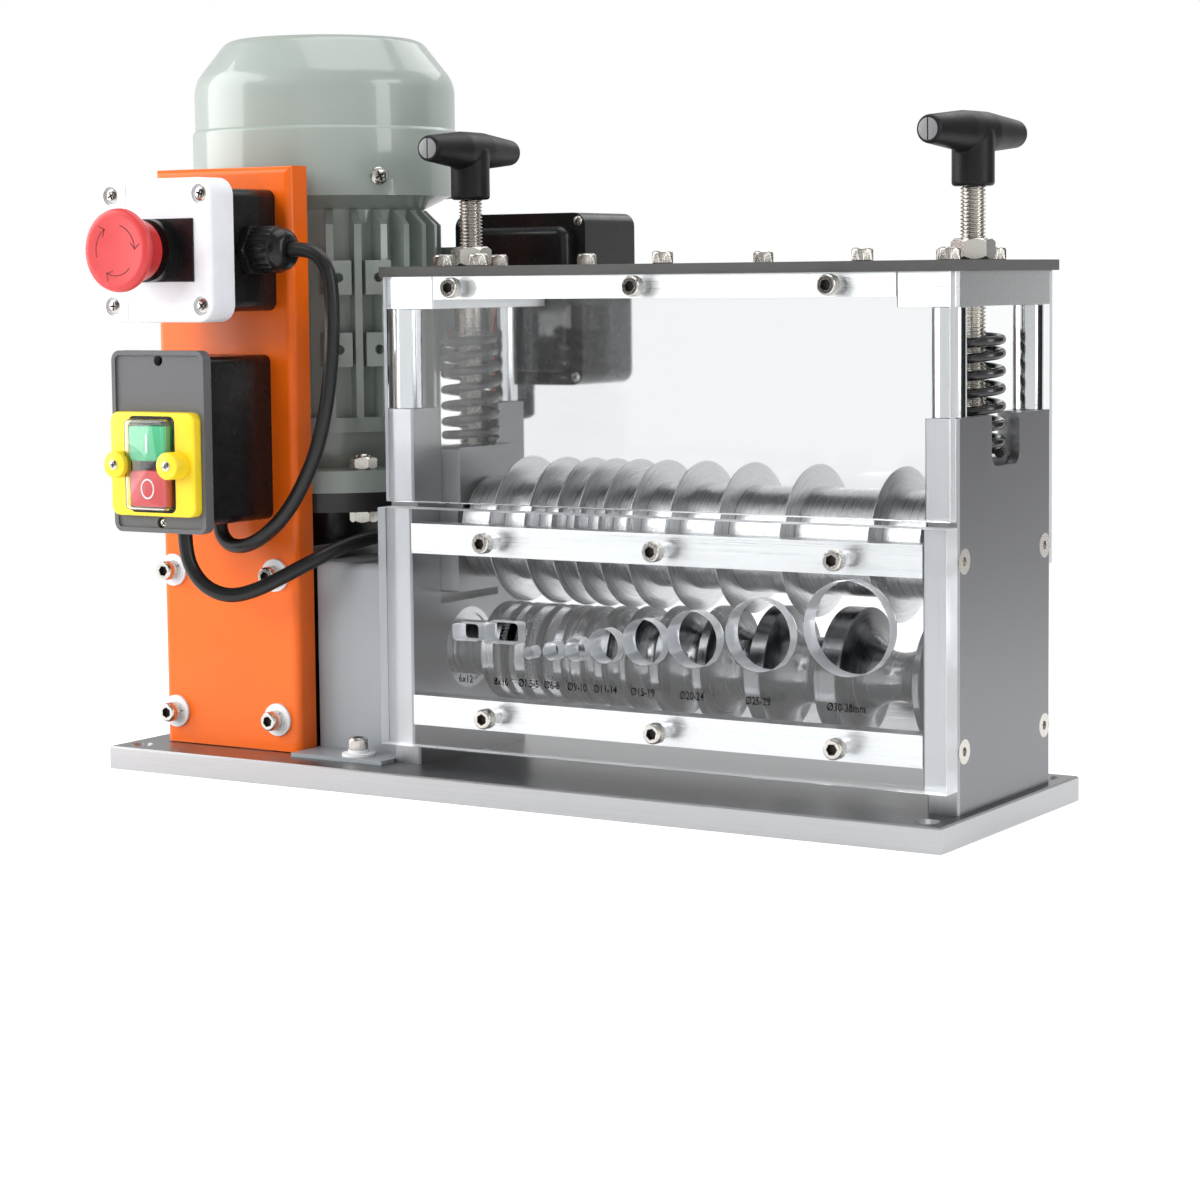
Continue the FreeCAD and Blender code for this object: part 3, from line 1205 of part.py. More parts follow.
def fan_cowl():
    """The pressed sheet cowl over the fan, with slots in its top."""
    sheet = COWL_SHEET
    skirt = COWL_SKIRT / 2
    body = COWL_BODY / 2
    top = COWL_TOP_WIDTH / 2
    step = COWL_STEP - COWL_BOTTOM
    drafted = step + COWL_STEP_DRAFT
    shoulder = COWL_TAPER - COWL_BOTTOM
    height = COWL_TOP - COWL_BOTTOM
    outside = [(0, skirt), (step, skirt), (drafted, body), (shoulder, body), (height, top), (height, 0)]
    inside = [(height - sheet, 0), (height - sheet, top - sheet / 2), (shoulder, body - sheet),
              (drafted - sheet / 2, body - sheet), (drafted - sheet / 2, skirt - sheet), (0, skirt - sheet)]
    cowl = turned(outside + inside, motor_axis(COWL_BOTTOM), UP, RIGHT)
    for radius, level, size in ((COWL_SHOULDER_ROUND, COWL_TAPER, body), (COWL_TOP_ROUND, COWL_TOP, top)):
        cowl = rounded(cowl, radius, lambda edge: is_ring(edge) and abs(edge.CenterOfMass.z - level) < 0.01
                       and abs(edge.Curve.Radius - size) < 0.01)
    slots = []
    for i in range(COWL_SLOTS):
        slot = block(COWL_SLOT_INNER, COWL_SLOT_OUTER, -COWL_SLOT_WIDTH / 2, COWL_SLOT_WIDTH / 2,
                     COWL_TOP - 2 * sheet, COWL_TOP + OVERCUT)
        slot.rotate(V(0, 0, 0), UP, 360 * i / COWL_SLOTS)
        slot.translate(motor_axis(0))
        slots.append(slot)
    cowl = cowl.cut(Part.makeCompound(slots))
    save("fan_cowl", cowl)


def motor_rotor():
    """The motor's shaft with its rotor core and worm, and the cooling fan."""
    bottom = WORM_CAVITY_BOTTOM + SLIDING
    shaft = rod(MOTOR_SHAFT, motor_axis(bottom), UP, FAN_BOTTOM + FAN_HEIGHT - bottom)
    core = rod(ROTOR, motor_axis(ROTOR_BOTTOM), UP, ROTOR_TOP - ROTOR_BOTTOM)
    worm = rod(WORM, motor_axis(FEED_Z - WORM_LENGTH / 2), UP, WORM_LENGTH)
    save("motor_rotor", shaft.fuse([core, worm]))
    hub = rod(FAN_HUB, motor_axis(FAN_BOTTOM), UP, FAN_HEIGHT)
    fan = hub.fuse(rod(FAN, motor_axis(FAN_BOTTOM), UP, FAN_DISC))
    blades = []
    for i in range(FAN_BLADES):
        blade = block(FAN_HUB / 2 - OVERLAP, FAN / 2, -BLADE_THICK / 2, BLADE_THICK / 2, FAN_BOTTOM,
                      FAN_BOTTOM + FAN_HEIGHT)
        blade.rotate(V(0, 0, 0), UP, 360 * i / FAN_BLADES)
        blade.translate(motor_axis(0))
        blades.append(blade)
    fan = fan.fuse(blades).cut(rod(MOTOR_SHAFT, motor_axis(FAN_BOTTOM), UP, FAN_HEIGHT))
    save("cooling_fan", fan)


def hollow_box(outer, wall, open_side):
    """A box's outside with its inside cut away, open on one side or on none."""
    x0, x1, y0, y1, z0, z1, radius, axis = outer
    shell = rounded_block(x0, x1, y0, y1, z0, z1, radius, axis)
    inner = rounded_block(x0 + wall, x1 - wall, y0 + wall, y1 - wall, z0 + wall, z1 - wall,
                          max(radius - wall, 0.5), axis)
    if open_side is not None:
        reach = inner.copy()
        reach.translate(open_side * wall)
        inner = inner.fuse(reach)
    return shell.cut(inner)


def terminal_box():
    """The black terminal box beside the motor, with its domed lid towards the front."""
    case = hollow_box((BOX_LEFT, BOX_RIGHT, BOX_FRONT, BOX_FRONT + BOX_DEPTH, BOX_BOTTOM, BOX_TOP,
                       BOX_ROUND, BACK), BOX_WALL, FRONT)
    save("terminal_box", case)
    lid_front = BOX_FRONT - LID_THICK
    lid = rounded_block(BOX_LEFT, BOX_RIGHT, lid_front, BOX_FRONT, BOX_BOTTOM, BOX_TOP, BOX_ROUND, BACK)
    inset = LID_DOME_INSET
    dome = rounded_block(BOX_LEFT + inset, BOX_RIGHT - inset, lid_front - LID_DOME_RISE, lid_front + OVERLAP,
                         BOX_BOTTOM + inset, BOX_TOP - inset, BOX_ROUND, BACK)
    dome_front = lid_front - LID_DOME_RISE
    dome = rounded(dome, LID_DOME_ROUND, lambda edge: abs(middle(edge).y - dome_front) < 0.01)
    save("terminal_box_lid", lid.fuse(dome))


def gland(root, out, length_left):
    """A cord gland: hexagon body, ribbed nut and domed end that grips the cord."""
    bore = CORD + 2 * FITTED
    nut_start = GLAND_BODY_LENGTH
    dome_start = nut_start + GLAND_NUT_LENGTH
    body = prism(6, GLAND_NUT, V(0, 0, 0), UP, nut_start)
    tip_radius = GLAND_NUT / 2
    root_radius = tip_radius - GLAND_RIB_DEPTH
    corners = []
    for i in range(GLAND_RIBS):
        for radius, part in ((root_radius, 0.0), (root_radius, 0.25), (tip_radius, 0.4), (tip_radius, 0.85)):
            angle = 2 * math.pi * (i + part) / GLAND_RIBS
            corners.append(V(radius * math.cos(angle), radius * math.sin(angle), nut_start))
    nut = Part.Face(Part.makePolygon(corners + [corners[0]])).extrude(UP * GLAND_NUT_LENGTH)
    dome = rod(2 * root_radius, V(0, 0, dome_start - OVERLAP), UP, length_left + OVERLAP)
    drop = root_radius - bore / 2 - GLAND_LIP
    dome = rounded(dome, min(drop, GLAND_DOME_SHARE * length_left),
                   lambda edge: is_ring(edge) and edge.CenterOfMass.z > dome_start)
    return placed(body.fuse([nut, dome]), root, out)


def glands():
    stop_root = V(STOP_X + STOP_BASE_WIDTH / 2, GLAND_Y, STOP_Z)
    stop_end = STOP_CORD_ROUTE[0][0]
    reach = stop_end - stop_root.x - GLAND_BODY_LENGTH - GLAND_NUT_LENGTH
    stop_gland = gland(stop_root, RIGHT, reach)
    end = MOTOR_CORD_ROUTE[-1]
    motor_root = V(end[0], end[1], BOX_BOTTOM)
    motor_gland = gland(motor_root, DOWN, BOX_BOTTOM - end[2] - GLAND_BODY_LENGTH - GLAND_NUT_LENGTH)
    save("cord_glands", stop_gland, motor_gland)


def switch_panel():
    """The folded sheet panel on the gearbox's front, with a flange down each side and over its top."""
    bottom = BASE_TOP + PANEL_BOTTOM_GAP
    back = PANEL_FRONT + PANEL_FLANGE
    outer = block(PANEL_LEFT, PANEL_RIGHT, PANEL_FRONT, back, bottom, PANEL_TOP)
    front_edges = [edge for edge in outer.Edges
                   if abs(middle(edge).y - PANEL_FRONT) < 0.01 and middle(edge).z > bottom + 1]
    outer = outer.makeFillet(PANEL_BEND, front_edges)
    sheet = PANEL_SHEET
    inner = block(PANEL_LEFT + sheet, PANEL_RIGHT - sheet, PANEL_FRONT + sheet, back + OVERCUT,
                  bottom - OVERCUT, PANEL_TOP - sheet)
    inner_edges = [edge for edge in inner.Edges
                   if abs(middle(edge).y - PANEL_FRONT - sheet) < 0.01 and middle(edge).z > bottom + 1]
    inner = inner.makeFillet(PANEL_BEND - sheet, inner_edges)
    panel = outer.cut(inner)
    screws = []
    for x in PANEL_SCREW_X:
        for z in PANEL_SCREW_Z:
            panel = panel.cut(screw_hole(V(x, PANEL_FRONT, z), BACK, sheet))
            grip = sheet + CASE_SCREW_DEPTH - SCREW_END_GAP
            screws.append(washered_screw(V(x, PANEL_FRONT, z), FRONT, grip))
    save("switch_panel", panel)
    return screws


def washered_screw(seat, out, grip):
    """A cap screw with a spring washer over a wide flat washer."""
    flat = prism(16, WASHER, seat, out, WASHER_THICK)
    split = prism(SHANK_SIDES, SPRING_WASHER, seat + out * WASHER_THICK, out, SPRING_WASHER_THICK)
    stack = WASHER_THICK + SPRING_WASHER_THICK
    screw = cap_screw(seat + out * stack, out, grip + stack)
    return screw.fuse([flat, split])


def coupling_cover():
    """The grey sheet cover over the coupling, a bridge with a foot at the front and the back."""
    right = UNIT_LEFT - SLIDING
    back = 2 * UNIT_MIDDLE_Y - COVER_FRONT
    sheet = COVER_SHEET
    outer = rounded(block(COVER_LEFT, right, COVER_FRONT, back, BASE_TOP, COVER_TOP), COVER_BEND,
                    lambda edge: along(edge, RIGHT) and middle(edge).z > BASE_TOP + 1)
    inner = rounded(block(COVER_LEFT, right, COVER_FRONT + sheet, back - sheet, BASE_TOP, COVER_TOP - sheet),
                    COVER_BEND - sheet, lambda edge: along(edge, RIGHT) and middle(edge).z > BASE_TOP + 1)
    cover = outer.cut(inner)
    screws = []
    for y0, y1, y in ((COVER_FRONT - COVER_FOOT, COVER_FRONT, COVER_FRONT - COVER_FOOT + COVER_SCREW_INSET),
                      (back, back + COVER_FOOT, back + COVER_FOOT - COVER_SCREW_INSET)):
        foot = block(COVER_LEFT, right, y0, y1, BASE_TOP, BASE_TOP + sheet)
        cover = cover.fuse(foot)
        seat = V(COVER_SCREW_X, y, BASE_TOP + sheet)
        cover = cover.cut(screw_hole(seat, DOWN, sheet))
        washer = prism(16, WASHER, seat, UP, WASHER_THICK)
        screws.append(cap_screw(seat + UP * WASHER_THICK, UP, sheet + WASHER_THICK).fuse(washer))
    save("coupling_cover", cover)
    return screws


def emergency_stop():
    """The emergency stop's base, cover, legend plate and collar, and its moving stem and mushroom."""
    half_wide = STOP_BASE_WIDTH / 2
    half_high = STOP_BASE_HEIGHT / 2
    base = hollow_box((STOP_X - half_wide, STOP_X + half_wide, STOP_BASE_FRONT, PANEL_FRONT,
                       STOP_Z - half_high, STOP_Z + half_high, STOP_BASE_ROUND, BACK), STOP_WALL, FRONT)
    save("stop_base", base)
    half = STOP_COVER_SIZE / 2
    cover = hollow_box((STOP_X - half, STOP_X + half, STOP_FRONT, STOP_BASE_FRONT, STOP_Z - half,
                        STOP_Z + half, STOP_COVER_ROUND, BACK), STOP_WALL, None)
    window_half = half_wide - STOP_WALL
    window_rise = half_high - STOP_WALL
    cover = cover.cut(block(STOP_X - window_half, STOP_X + window_half, STOP_BASE_FRONT - STOP_WALL,
                            STOP_BASE_FRONT, STOP_Z - window_rise, STOP_Z + window_rise))
    cover = cover.cut(rod(STEM_HOLE, V(STOP_X, STOP_FRONT, STOP_Z), BACK, STOP_WALL))
    save("stop_cover", cover)
    half = LEGEND_WIDTH / 2
    rise = LEGEND_HEIGHT / 2
    legend = block(STOP_X - half, STOP_X + half, STOP_FRONT - LEGEND_THICK, STOP_FRONT, STOP_Z - rise,
                   STOP_Z + rise)
    legend = legend.cut(rod(STEM_HOLE, V(STOP_X, STOP_FRONT, STOP_Z), FRONT, LEGEND_THICK))
    collar_back = V(STOP_X, STOP_FRONT - LEGEND_THICK, STOP_Z)
    collar = tube(COLLAR, STEM + 2 * FITTED, collar_back, FRONT, COLLAR_LENGTH)
    save("stop_legend_and_collar", legend, collar)
    tip = STOP_FRONT - MUSHROOM_FRONT
    stem_back = STOP_FRONT + STEM_INSIDE
    stem_front = tip + MUSHROOM_LENGTH - MUSHROOM_BORE_DEPTH + FITTED
    save("stop_stem", rod(STEM, V(STOP_X, stem_front, STOP_Z), BACK, stem_back - stem_front))
    length = MUSHROOM_LENGTH
    wide = MUSHROOM / 2
    slope = MUSHROOM_RIM_SLOPE
    profile = [(0, 0), (0, wide), (MUSHROOM_RIM, wide), (MUSHROOM_RIM + slope, wide - slope),
               (length, MUSHROOM_BACK / 2), (length, 0)]
    mushroom = turned(profile, V(STOP_X, tip, STOP_Z), BACK, UP)
    for radius, level in ((MUSHROOM_ROUND, tip), (MUSHROOM_RIM_ROUND, tip + MUSHROOM_RIM)):
        mushroom = rounded(mushroom, radius, lambda edge: is_ring(edge)
                           and abs(edge.CenterOfMass.y - level) < 0.01 and edge.Curve.Radius > wide - 0.01)
    bore = V(STOP_X, tip + length, STOP_Z)
    mushroom = mushroom.cut(rod(STEM + 2 * RUNNING, bore, FRONT, MUSHROOM_BORE_DEPTH))
    save("stop_mushroom", mushroom)


def switch_box():
    """The start and stop switch: body, rimmed front plate, yellow bezel, clear membrane and two keys."""
    plate_back = SWITCH_FRONT + SWITCH_PLATE_THICK
    half = SWITCH_BODY_WIDTH / 2
    low = SWITCH_BOTTOM + SWITCH_BODY_INSET
    high = SWITCH_TOP - SWITCH_BODY_INSET
    body = hollow_box((SWITCH_X - half, SWITCH_X + half, plate_back, PANEL_FRONT, low, high,
                       SWITCH_BODY_ROUND, BACK), SWITCH_WALL, FRONT)
    save("switch_body", body)
    half = SWITCH_PLATE_WIDTH / 2
    plate = rounded_block(SWITCH_X - half, SWITCH_X + half, SWITCH_FRONT, plate_back, SWITCH_BOTTOM,
                          SWITCH_TOP, SWITCH_ROUND, BACK)
    rim = SWITCH_RIM
    face_y = SWITCH_FRONT + SWITCH_FACE_INSET
    plate = plate.cut(rounded_block(SWITCH_X - half + rim, SWITCH_X + half - rim, SWITCH_FRONT, face_y,
                                    SWITCH_BOTTOM + rim, SWITCH_TOP - rim, SWITCH_ROUND - rim, BACK))
    key_half = KEY_WIDTH / 2 + SLIDING
    for z0, z1 in (START_KEY, STOP_KEY):
        plate = plate.cut(block(SWITCH_X - key_half, SWITCH_X + key_half, face_y, plate_back,
                                z0 - SLIDING, z1 + SLIDING))
    for z in (SWITCH_BOTTOM + KEYHOLE_INSET, SWITCH_TOP - KEYHOLE_INSET):
        plate = plate.cut(rod(KEYHOLE, V(SWITCH_X, face_y, z), BACK, SWITCH_PLATE_THICK))
    save("switch_front_plate", plate)
    bezel_half = half - rim - FITTED
    bezel = rounded_block(SWITCH_X - bezel_half, SWITCH_X + bezel_half, BEZEL_FRONT, face_y,
                          BEZEL_Z - BEZEL_HEIGHT / 2, BEZEL_Z + BEZEL_HEIGHT / 2, BEZEL_ROUND, BACK)
    for side in (-1, 1):
        ear_front = V(SWITCH_X + side * EAR_OFFSET, EAR_FRONT, BEZEL_Z)
        bezel = bezel.fuse(rod(EAR, ear_front, BACK, BEZEL_FRONT - EAR_FRONT + OVERLAP))
    window_half = WINDOW_WIDTH / 2 + FITTED
    window_rise = WINDOW_HEIGHT / 2 + FITTED
    bezel = bezel.cut(block(SWITCH_X - window_half, SWITCH_X + window_half, EAR_FRONT - OVERCUT, face_y,
                            BEZEL_Z - window_rise, BEZEL_Z + window_rise))
    save("switch_bezel", bezel)
    membrane = hollow_box((SWITCH_X - WINDOW_WIDTH / 2, SWITCH_X + WINDOW_WIDTH / 2, MEMBRANE_FRONT, face_y,
                           BEZEL_Z - WINDOW_HEIGHT / 2, BEZEL_Z + WINDOW_HEIGHT / 2, MEMBRANE_ROUND, BACK),
                          MEMBRANE_WALL, BACK)
    save("switch_membrane", membrane)
    for name, (z0, z1) in (("start_key", START_KEY), ("stop_key", STOP_KEY)):
        key = rounded_block(SWITCH_X - KEY_WIDTH / 2, SWITCH_X + KEY_WIDTH / 2, KEY_FRONT,
                            KEY_FRONT + KEY_LENGTH, z0, z1, KEY_ROUND, BACK)
        save(name, key)


def cord(name, route):
    """A cord's tube: straight runs joined by arcs as large as the runs allow."""
    points = [V(*point) for point in route]
    edges = []
    length = 0.0
    tightest = 1000.0
    start = points[0]
    for i in range(1, len(points) - 1):
        before = points[i - 1] - points[i]
        after = points[i + 1] - points[i]
        trim = 0.45 * min(before.Length, after.Length)
        turn = math.pi - before.getAngle(after)
        radius = trim / math.tan(turn / 2)
        tightest = min(tightest, radius)
        enter = points[i] + V(before).normalize() * trim
        leave = points[i] + V(after).normalize() * trim
        inward = (V(before).normalize() + V(after).normalize()).normalize()
        crown = points[i] + inward * (radius / math.cos(turn / 2) - radius)
        edges.append(Part.LineSegment(start, enter).toShape())
        edges.append(Part.Arc(enter, crown, leave).toShape())
        start = leave
    edges.append(Part.LineSegment(start, points[-1]).toShape())
    for edge in edges:
        length += edge.Length
    path = Part.Wire(edges)
    heading = (points[1] - points[0]).normalize()
    section = Part.makePolygon(ring_points(points[0], heading, CORD, WIRE_SIDES))
    shape = path.makePipeShell([section], True, False)
    area = Part.Face(section).Area
    print(name, "length", round(length, 1), "least radius", round(tightest, 1),
          "volume share", round(shape.Volume / (area * length), 3))
    save(name, shape)


def main():
    os.makedirs("parts", exist_ok=True)
    base_plate()
    end_plate("left_end_plate", INNER_LEFT, -1, True)
    end_plate("right_end_plate", INNER_RIGHT, 1, False)
    tie_bars()
    end_plate_screws()
    guide_rods()
    head()
    top_plate()
    lock_nuts()
    lower_bearings()
    save("clear_panel_screws", *guide_panel() + guards())
    feed_roller()
    blade_roller()
    blade_carriage()
    spring("left_spring", SCREW_X[0])
    spring("right_spring", SCREW_X[1])
    adjusting_screw("left", SCREW_X[0], LEFT_HANDLE_TURN)
    adjusting_screw("right", SCREW_X[1], RIGHT_HANDLE_TURN)
    gearbox()
    flange_bolts()
    output_train()
    motor_flange()
    motor_frame()
    fan_cowl()
    motor_rotor()
    terminal_box()
    glands()
    save("washered_screws", *switch_panel() + coupling_cover())
    emergency_stop()
    switch_box()
    cord("stop_cord", STOP_CORD_ROUTE)
    cord("motor_cord", MOTOR_CORD_ROUTE)


main()
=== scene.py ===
# %% [markdown]
# An electric wire stripping machine stands on a pale studio floor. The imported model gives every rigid
# piece its place. This script gives each piece its finish, and remakes the ones whose roundness, teeth
# or threads show up close. Sizes below are in millimetres, and MM turns them into Blender's metres.

# %% Load the frame
import bpy
import bmesh
import json
import math
from mathutils import Vector, Matrix


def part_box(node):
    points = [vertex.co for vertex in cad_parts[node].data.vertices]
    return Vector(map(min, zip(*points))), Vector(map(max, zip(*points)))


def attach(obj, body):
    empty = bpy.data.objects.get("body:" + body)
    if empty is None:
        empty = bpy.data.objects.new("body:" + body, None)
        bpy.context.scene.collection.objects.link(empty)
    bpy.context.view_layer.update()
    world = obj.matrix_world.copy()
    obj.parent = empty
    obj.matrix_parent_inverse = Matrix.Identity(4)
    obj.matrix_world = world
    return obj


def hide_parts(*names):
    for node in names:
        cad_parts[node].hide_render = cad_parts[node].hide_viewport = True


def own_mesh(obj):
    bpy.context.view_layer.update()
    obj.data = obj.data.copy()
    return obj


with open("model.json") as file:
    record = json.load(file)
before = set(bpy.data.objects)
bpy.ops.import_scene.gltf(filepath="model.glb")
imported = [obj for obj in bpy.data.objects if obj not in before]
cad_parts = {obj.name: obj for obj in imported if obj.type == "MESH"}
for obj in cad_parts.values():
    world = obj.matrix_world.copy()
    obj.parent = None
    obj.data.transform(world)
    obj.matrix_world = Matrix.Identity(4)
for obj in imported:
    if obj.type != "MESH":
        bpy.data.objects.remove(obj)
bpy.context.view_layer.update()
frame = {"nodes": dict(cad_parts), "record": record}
MM = 0.001  # one millimetre in Blender's metres
X = Vector((1, 0, 0))
Y = Vector((0, 1, 0))
Z = Vector((0, 0, 1))
print("nodes", len(frame["nodes"]))

# %% [markdown]
# The photograph was taken with a long lens from the machine's right front, a little above the bench.
# A camera fitted to the corners of the base plate gives its place, its three angles and its lens. The
# machine sits above the middle of the picture, so the lens is shifted instead of tilted.

# %% Camera
CAMERA_PLACE = Vector((794.2, -1243.1, 256.6)) * MM
CAMERA_YAW = math.radians(32.016)
CAMERA_PITCH = math.radians(4.731)
CAMERA_ROLL = math.radians(-0.5915)
CAMERA_LENS = 87.85
CAMERA_SHIFT = -0.0625


def add_camera():
    data = bpy.data.cameras.new("photo_camera")
    data.lens = CAMERA_LENS
    data.sensor_width = 36
    data.sensor_fit = "HORIZONTAL"
    data.shift_y = CAMERA_SHIFT
    camera = bpy.data.objects.new("photo_camera", data)
    bpy.context.collection.objects.link(camera)
    turn = Matrix.Rotation(CAMERA_YAW, 4, "Z") @ Matrix.Rotation(math.pi / 2 - CAMERA_PITCH, 4, "X")
    turn = turn @ Matrix.Rotation(CAMERA_ROLL, 4, "Z")
    camera.matrix_world = Matrix.Translation(CAMERA_PLACE) @ turn
    bpy.context.scene.camera = camera


add_camera()
bpy.context.scene.view_settings.view_transform = "Standard"

# %% [markdown]
# Cords come before the rest, because their room is shared with the model. Each is a NURBS curve whose
# control points are the chosen points of the model's tube. Its round bevel is one unit deep, and each
# point's own radius brings that down to the sheath's, which keeps the curve's bounds close to the cord.
# A NURBS line stays smooth where short straight runs would look like bent wire.

# %% Cords
CORD_DIAMETER = 7.5
STOP_CORD_ROUTE = (
    (-121.0, -70.0, 272.4),
    (-110.5, -70.0, 272.4),
    (-101.2, -70.0, 267.6),
    (-96.6, -70.0, 257.6),
    (-95.6, -70.0, 243.0),
    (-96.4, -70.0, 221.0),
    (-99.6, -70.0, 196.0),
    (-106.4, -70.0, 172.0),
    (-117.4, -69.6, 152.0),
    (-130.0, -68.6, 136.6),
    (-144.0, -67.4, 126.0),
    (-156.4, -66.4, 120.6),
    (-166.6, -65.4, 120.4),
    (-171.9, -64.9, 123.4),
    (-174.8, -64.8, 128.4),
    (-174.8, -64.8, 133.8),
)
MOTOR_CORD_ROUTE = (
    (-179.0, -88.0, 133.8),
    (-179.0, -88.0, 122.4),
    (-176.0, -87.6, 110.2),
    (-167.6, -85.8, 100.2),
    (-155.2, -82.0, 96.0),
    (-142.2, -76.8, 99.4),
    (-130.2, -69.6, 106.4),
    (-119.6, -58.6, 114.0),
    (-112.2, -42.0, 120.8),
    (-106.4, -22.0, 124.2),
    (-100.6, 0.0, 125.6),
    (-95.0, 22.0, 126.6),
    (-91.2, 43.0, 129.4),
    (-90.0, 61.0, 135.4),
    (-91.4, 76.4, 145.4),
    (-93.8, 88.2, 157.0),
    (-95.0, 94.0, 169.0),
    (-95.0, 94.0, 180.0),
)


def nurbs_tube(name, points, diameter, resolution):
    """A round tube whose middle is a NURBS line with these control points, in millimetres."""
    curve = bpy.data.curves.new(name, "CURVE")
    curve.dimensions = "3D"
    curve.bevel_depth = 1.0
    curve.bevel_resolution = 6
    curve.use_fill_caps = True
    spline = curve.splines.new("NURBS")
    spline.points.add(len(points) - 1)
    for point, place in zip(spline.points, points):
        point.co = (place[0] * MM, place[1] * MM, place[2] * MM, 1)
        point.radius = diameter / 2 * MM
    spline.order_u = 3
    spline.use_endpoint_u = True
    spline.resolution_u = resolution
    tube = bpy.data.objects.new(name, curve)
    bpy.context.collection.objects.link(tube)
    return tube


def free_cord(node, route):
    """A free cord that stands for the model's tube."""
    cord = nurbs_tube(node + "_sheath", route, CORD_DIAMETER, 12)
    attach(cord, "machine_frame")
    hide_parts(node)
    return cord


cords = [free_cord("stop_cord", STOP_CORD_ROUTE),
         free_cord("motor_cord", MOTOR_CORD_ROUTE)]
print("cords", len(cords))

# %% [markdown]
# The studio is a white floor under soft lamps. A tall softbox at the front left is what the machine's front
# faces mirror into the lens, and a second one at the right puts the other bright window on the motor's
# cowl. Two dark cards, which only reflections show, give chrome its dark edges. The world and the far
# floor are white to the eye and in reflections, but they light the machine only gently. Each lamp has
# its place, its size, its power in watts, and whether reflections show it.

# %% Studio
FLOOR_SIZE = 12.0
FLOOR_LIFT = 0.30
FLOOR_FADE = (0.4, 1.1)
WORLD_LIGHT = 0.42
WORLD_TINT = (0.93, 0.95, 1.0, 1)
CEILING_FADE = (0.15, 0.85)
CEILING_LIGHT = 0.35
CARD_HEIGHT = 0.9
LAMP_TARGET = Vector((0, 0, 0.15))
LAMPS = (
    ("left_softbox", (-1.60, -0.93, 0.88), (2.1, 1.8), 38.0, True),
    ("front_light", (-0.6, -2.2, 1.0), (1.0, 1.0), 21.0, False),
    ("right_softbox", (2.18, 0.27, 0.85), (1.2, 1.5), 23.0, True),
    ("top_softbox", (0.1, 0.3, 2.3), (1.8, 1.8), 22.0, True),
    ("rear_softbox", (0.1, 1.9, 1.7), (1.2, 1.2), 8.0, True),
)
CARDS = (("front_card", (-0.35, -1.0, 0.3), 0.22), ("right_card", (0.95, 0.60, 0.3), 0.22))


def feed(tree, socket, value):
    """Links another node's output to an input, or sets the input to a plain value."""
    if isinstance(value, bpy.types.NodeSocket):
        tree.links.new(value, socket)
    else:
        socket.default_value = value


def node(tree, kind, inputs=None, **settings):
    """A new shader node with these settings. Its inputs are fed by name or by number."""
    made = tree.nodes.new("ShaderNode" + kind)
    for key, value in settings.items():
        setattr(made, key, value)
    for key, value in (inputs or {}).items():
        feed(tree, made.inputs[key], value)
    return made


def mix_shader(tree, factor, first, second):
    return node(tree, "MixShader", {"Fac": factor, 1: first.outputs[0], 2: second.outputs[0]})


def show(tree, shader):
    """Makes a shader the one that the world or the material shows."""
    for end in tree.nodes:
        if end.bl_idname in ("ShaderNodeOutputWorld", "ShaderNodeOutputMaterial"):
            feed(tree, end.inputs["Surface"], shader.outputs[0])


def seen_rays(tree, kinds):
    """1 for rays of these kinds, and 0 for the others."""
    path = node(tree, "LightPath")
    best = path.outputs[kinds[0]]
    for kind in kinds[1:]:
        best = node(tree, "Math", {0: best, 1: path.outputs[kind]}, operation="MAXIMUM").outputs[0]
    return best


def new_material(name):
    """A material, its node tree and its Principled shader."""
    material = bpy.data.materials.new(name)
    material.use_nodes = True
    return material, material.node_tree, material.node_tree.nodes["Principled BSDF"]


def alone(piece=None, mode="OBJECT"):
    """Makes a piece the only one selected, in object mode or in edit mode, or selects nothing."""
    if bpy.context.object and bpy.context.object.mode != "OBJECT":
        bpy.ops.object.mode_set(mode="OBJECT")
    bpy.ops.object.select_all(action="DESELECT")
    if piece:
        piece.select_set(True)
        bpy.context.view_layer.objects.active = piece
        bpy.ops.object.mode_set(mode=mode)


def add_world():
    """White behind everything, and a little darker overhead for reflections, as a ceiling is."""
    world = bpy.data.worlds.new("studio")
    bpy.context.scene.world = world
    world.use_nodes = True
    tree = world.node_tree
    light = tree.nodes["Background"]
    light.inputs["Color"].default_value = WORLD_TINT
    light.inputs["Strength"].default_value = WORLD_LIGHT
    direction = node(tree, "TexCoord").outputs["Generated"]
    height = node(tree, "SeparateXYZ", {0: direction}).outputs["Z"]
    low, high = CEILING_FADE
    fall = node(tree, "MapRange", {"Value": height, "From Min": low, "From Max": high, "To Min": 1.0,
                                   "To Max": CEILING_LIGHT})
    ceiling = node(tree, "Background", {"Strength": fall.outputs[0]})
    white = node(tree, "Background", {"Color": (1, 1, 1, 1), "Strength": 1.0})
    mirrored = mix_shader(tree, seen_rays(tree, ["Is Glossy Ray"]), light, ceiling)
    show(tree, mix_shader(tree, seen_rays(tree, ["Is Camera Ray", "Is Transmission Ray"]), mirrored, white))


def add_lamp(name, place, size, power, mirrored):
    data = bpy.data.lights.new(name, "AREA")
    data.shape = "RECTANGLE"
    data.size = size[0]
    data.size_y = size[1]
    data.energy = power
    lamp = bpy.data.objects.new(name, data)
    bpy.context.collection.objects.link(lamp)
    lamp.location = place
    lamp.visible_glossy = mirrored
    aim = LAMP_TARGET - lamp.location
    lamp.rotation_euler = aim.to_track_quat("-Z", "Y").to_euler()


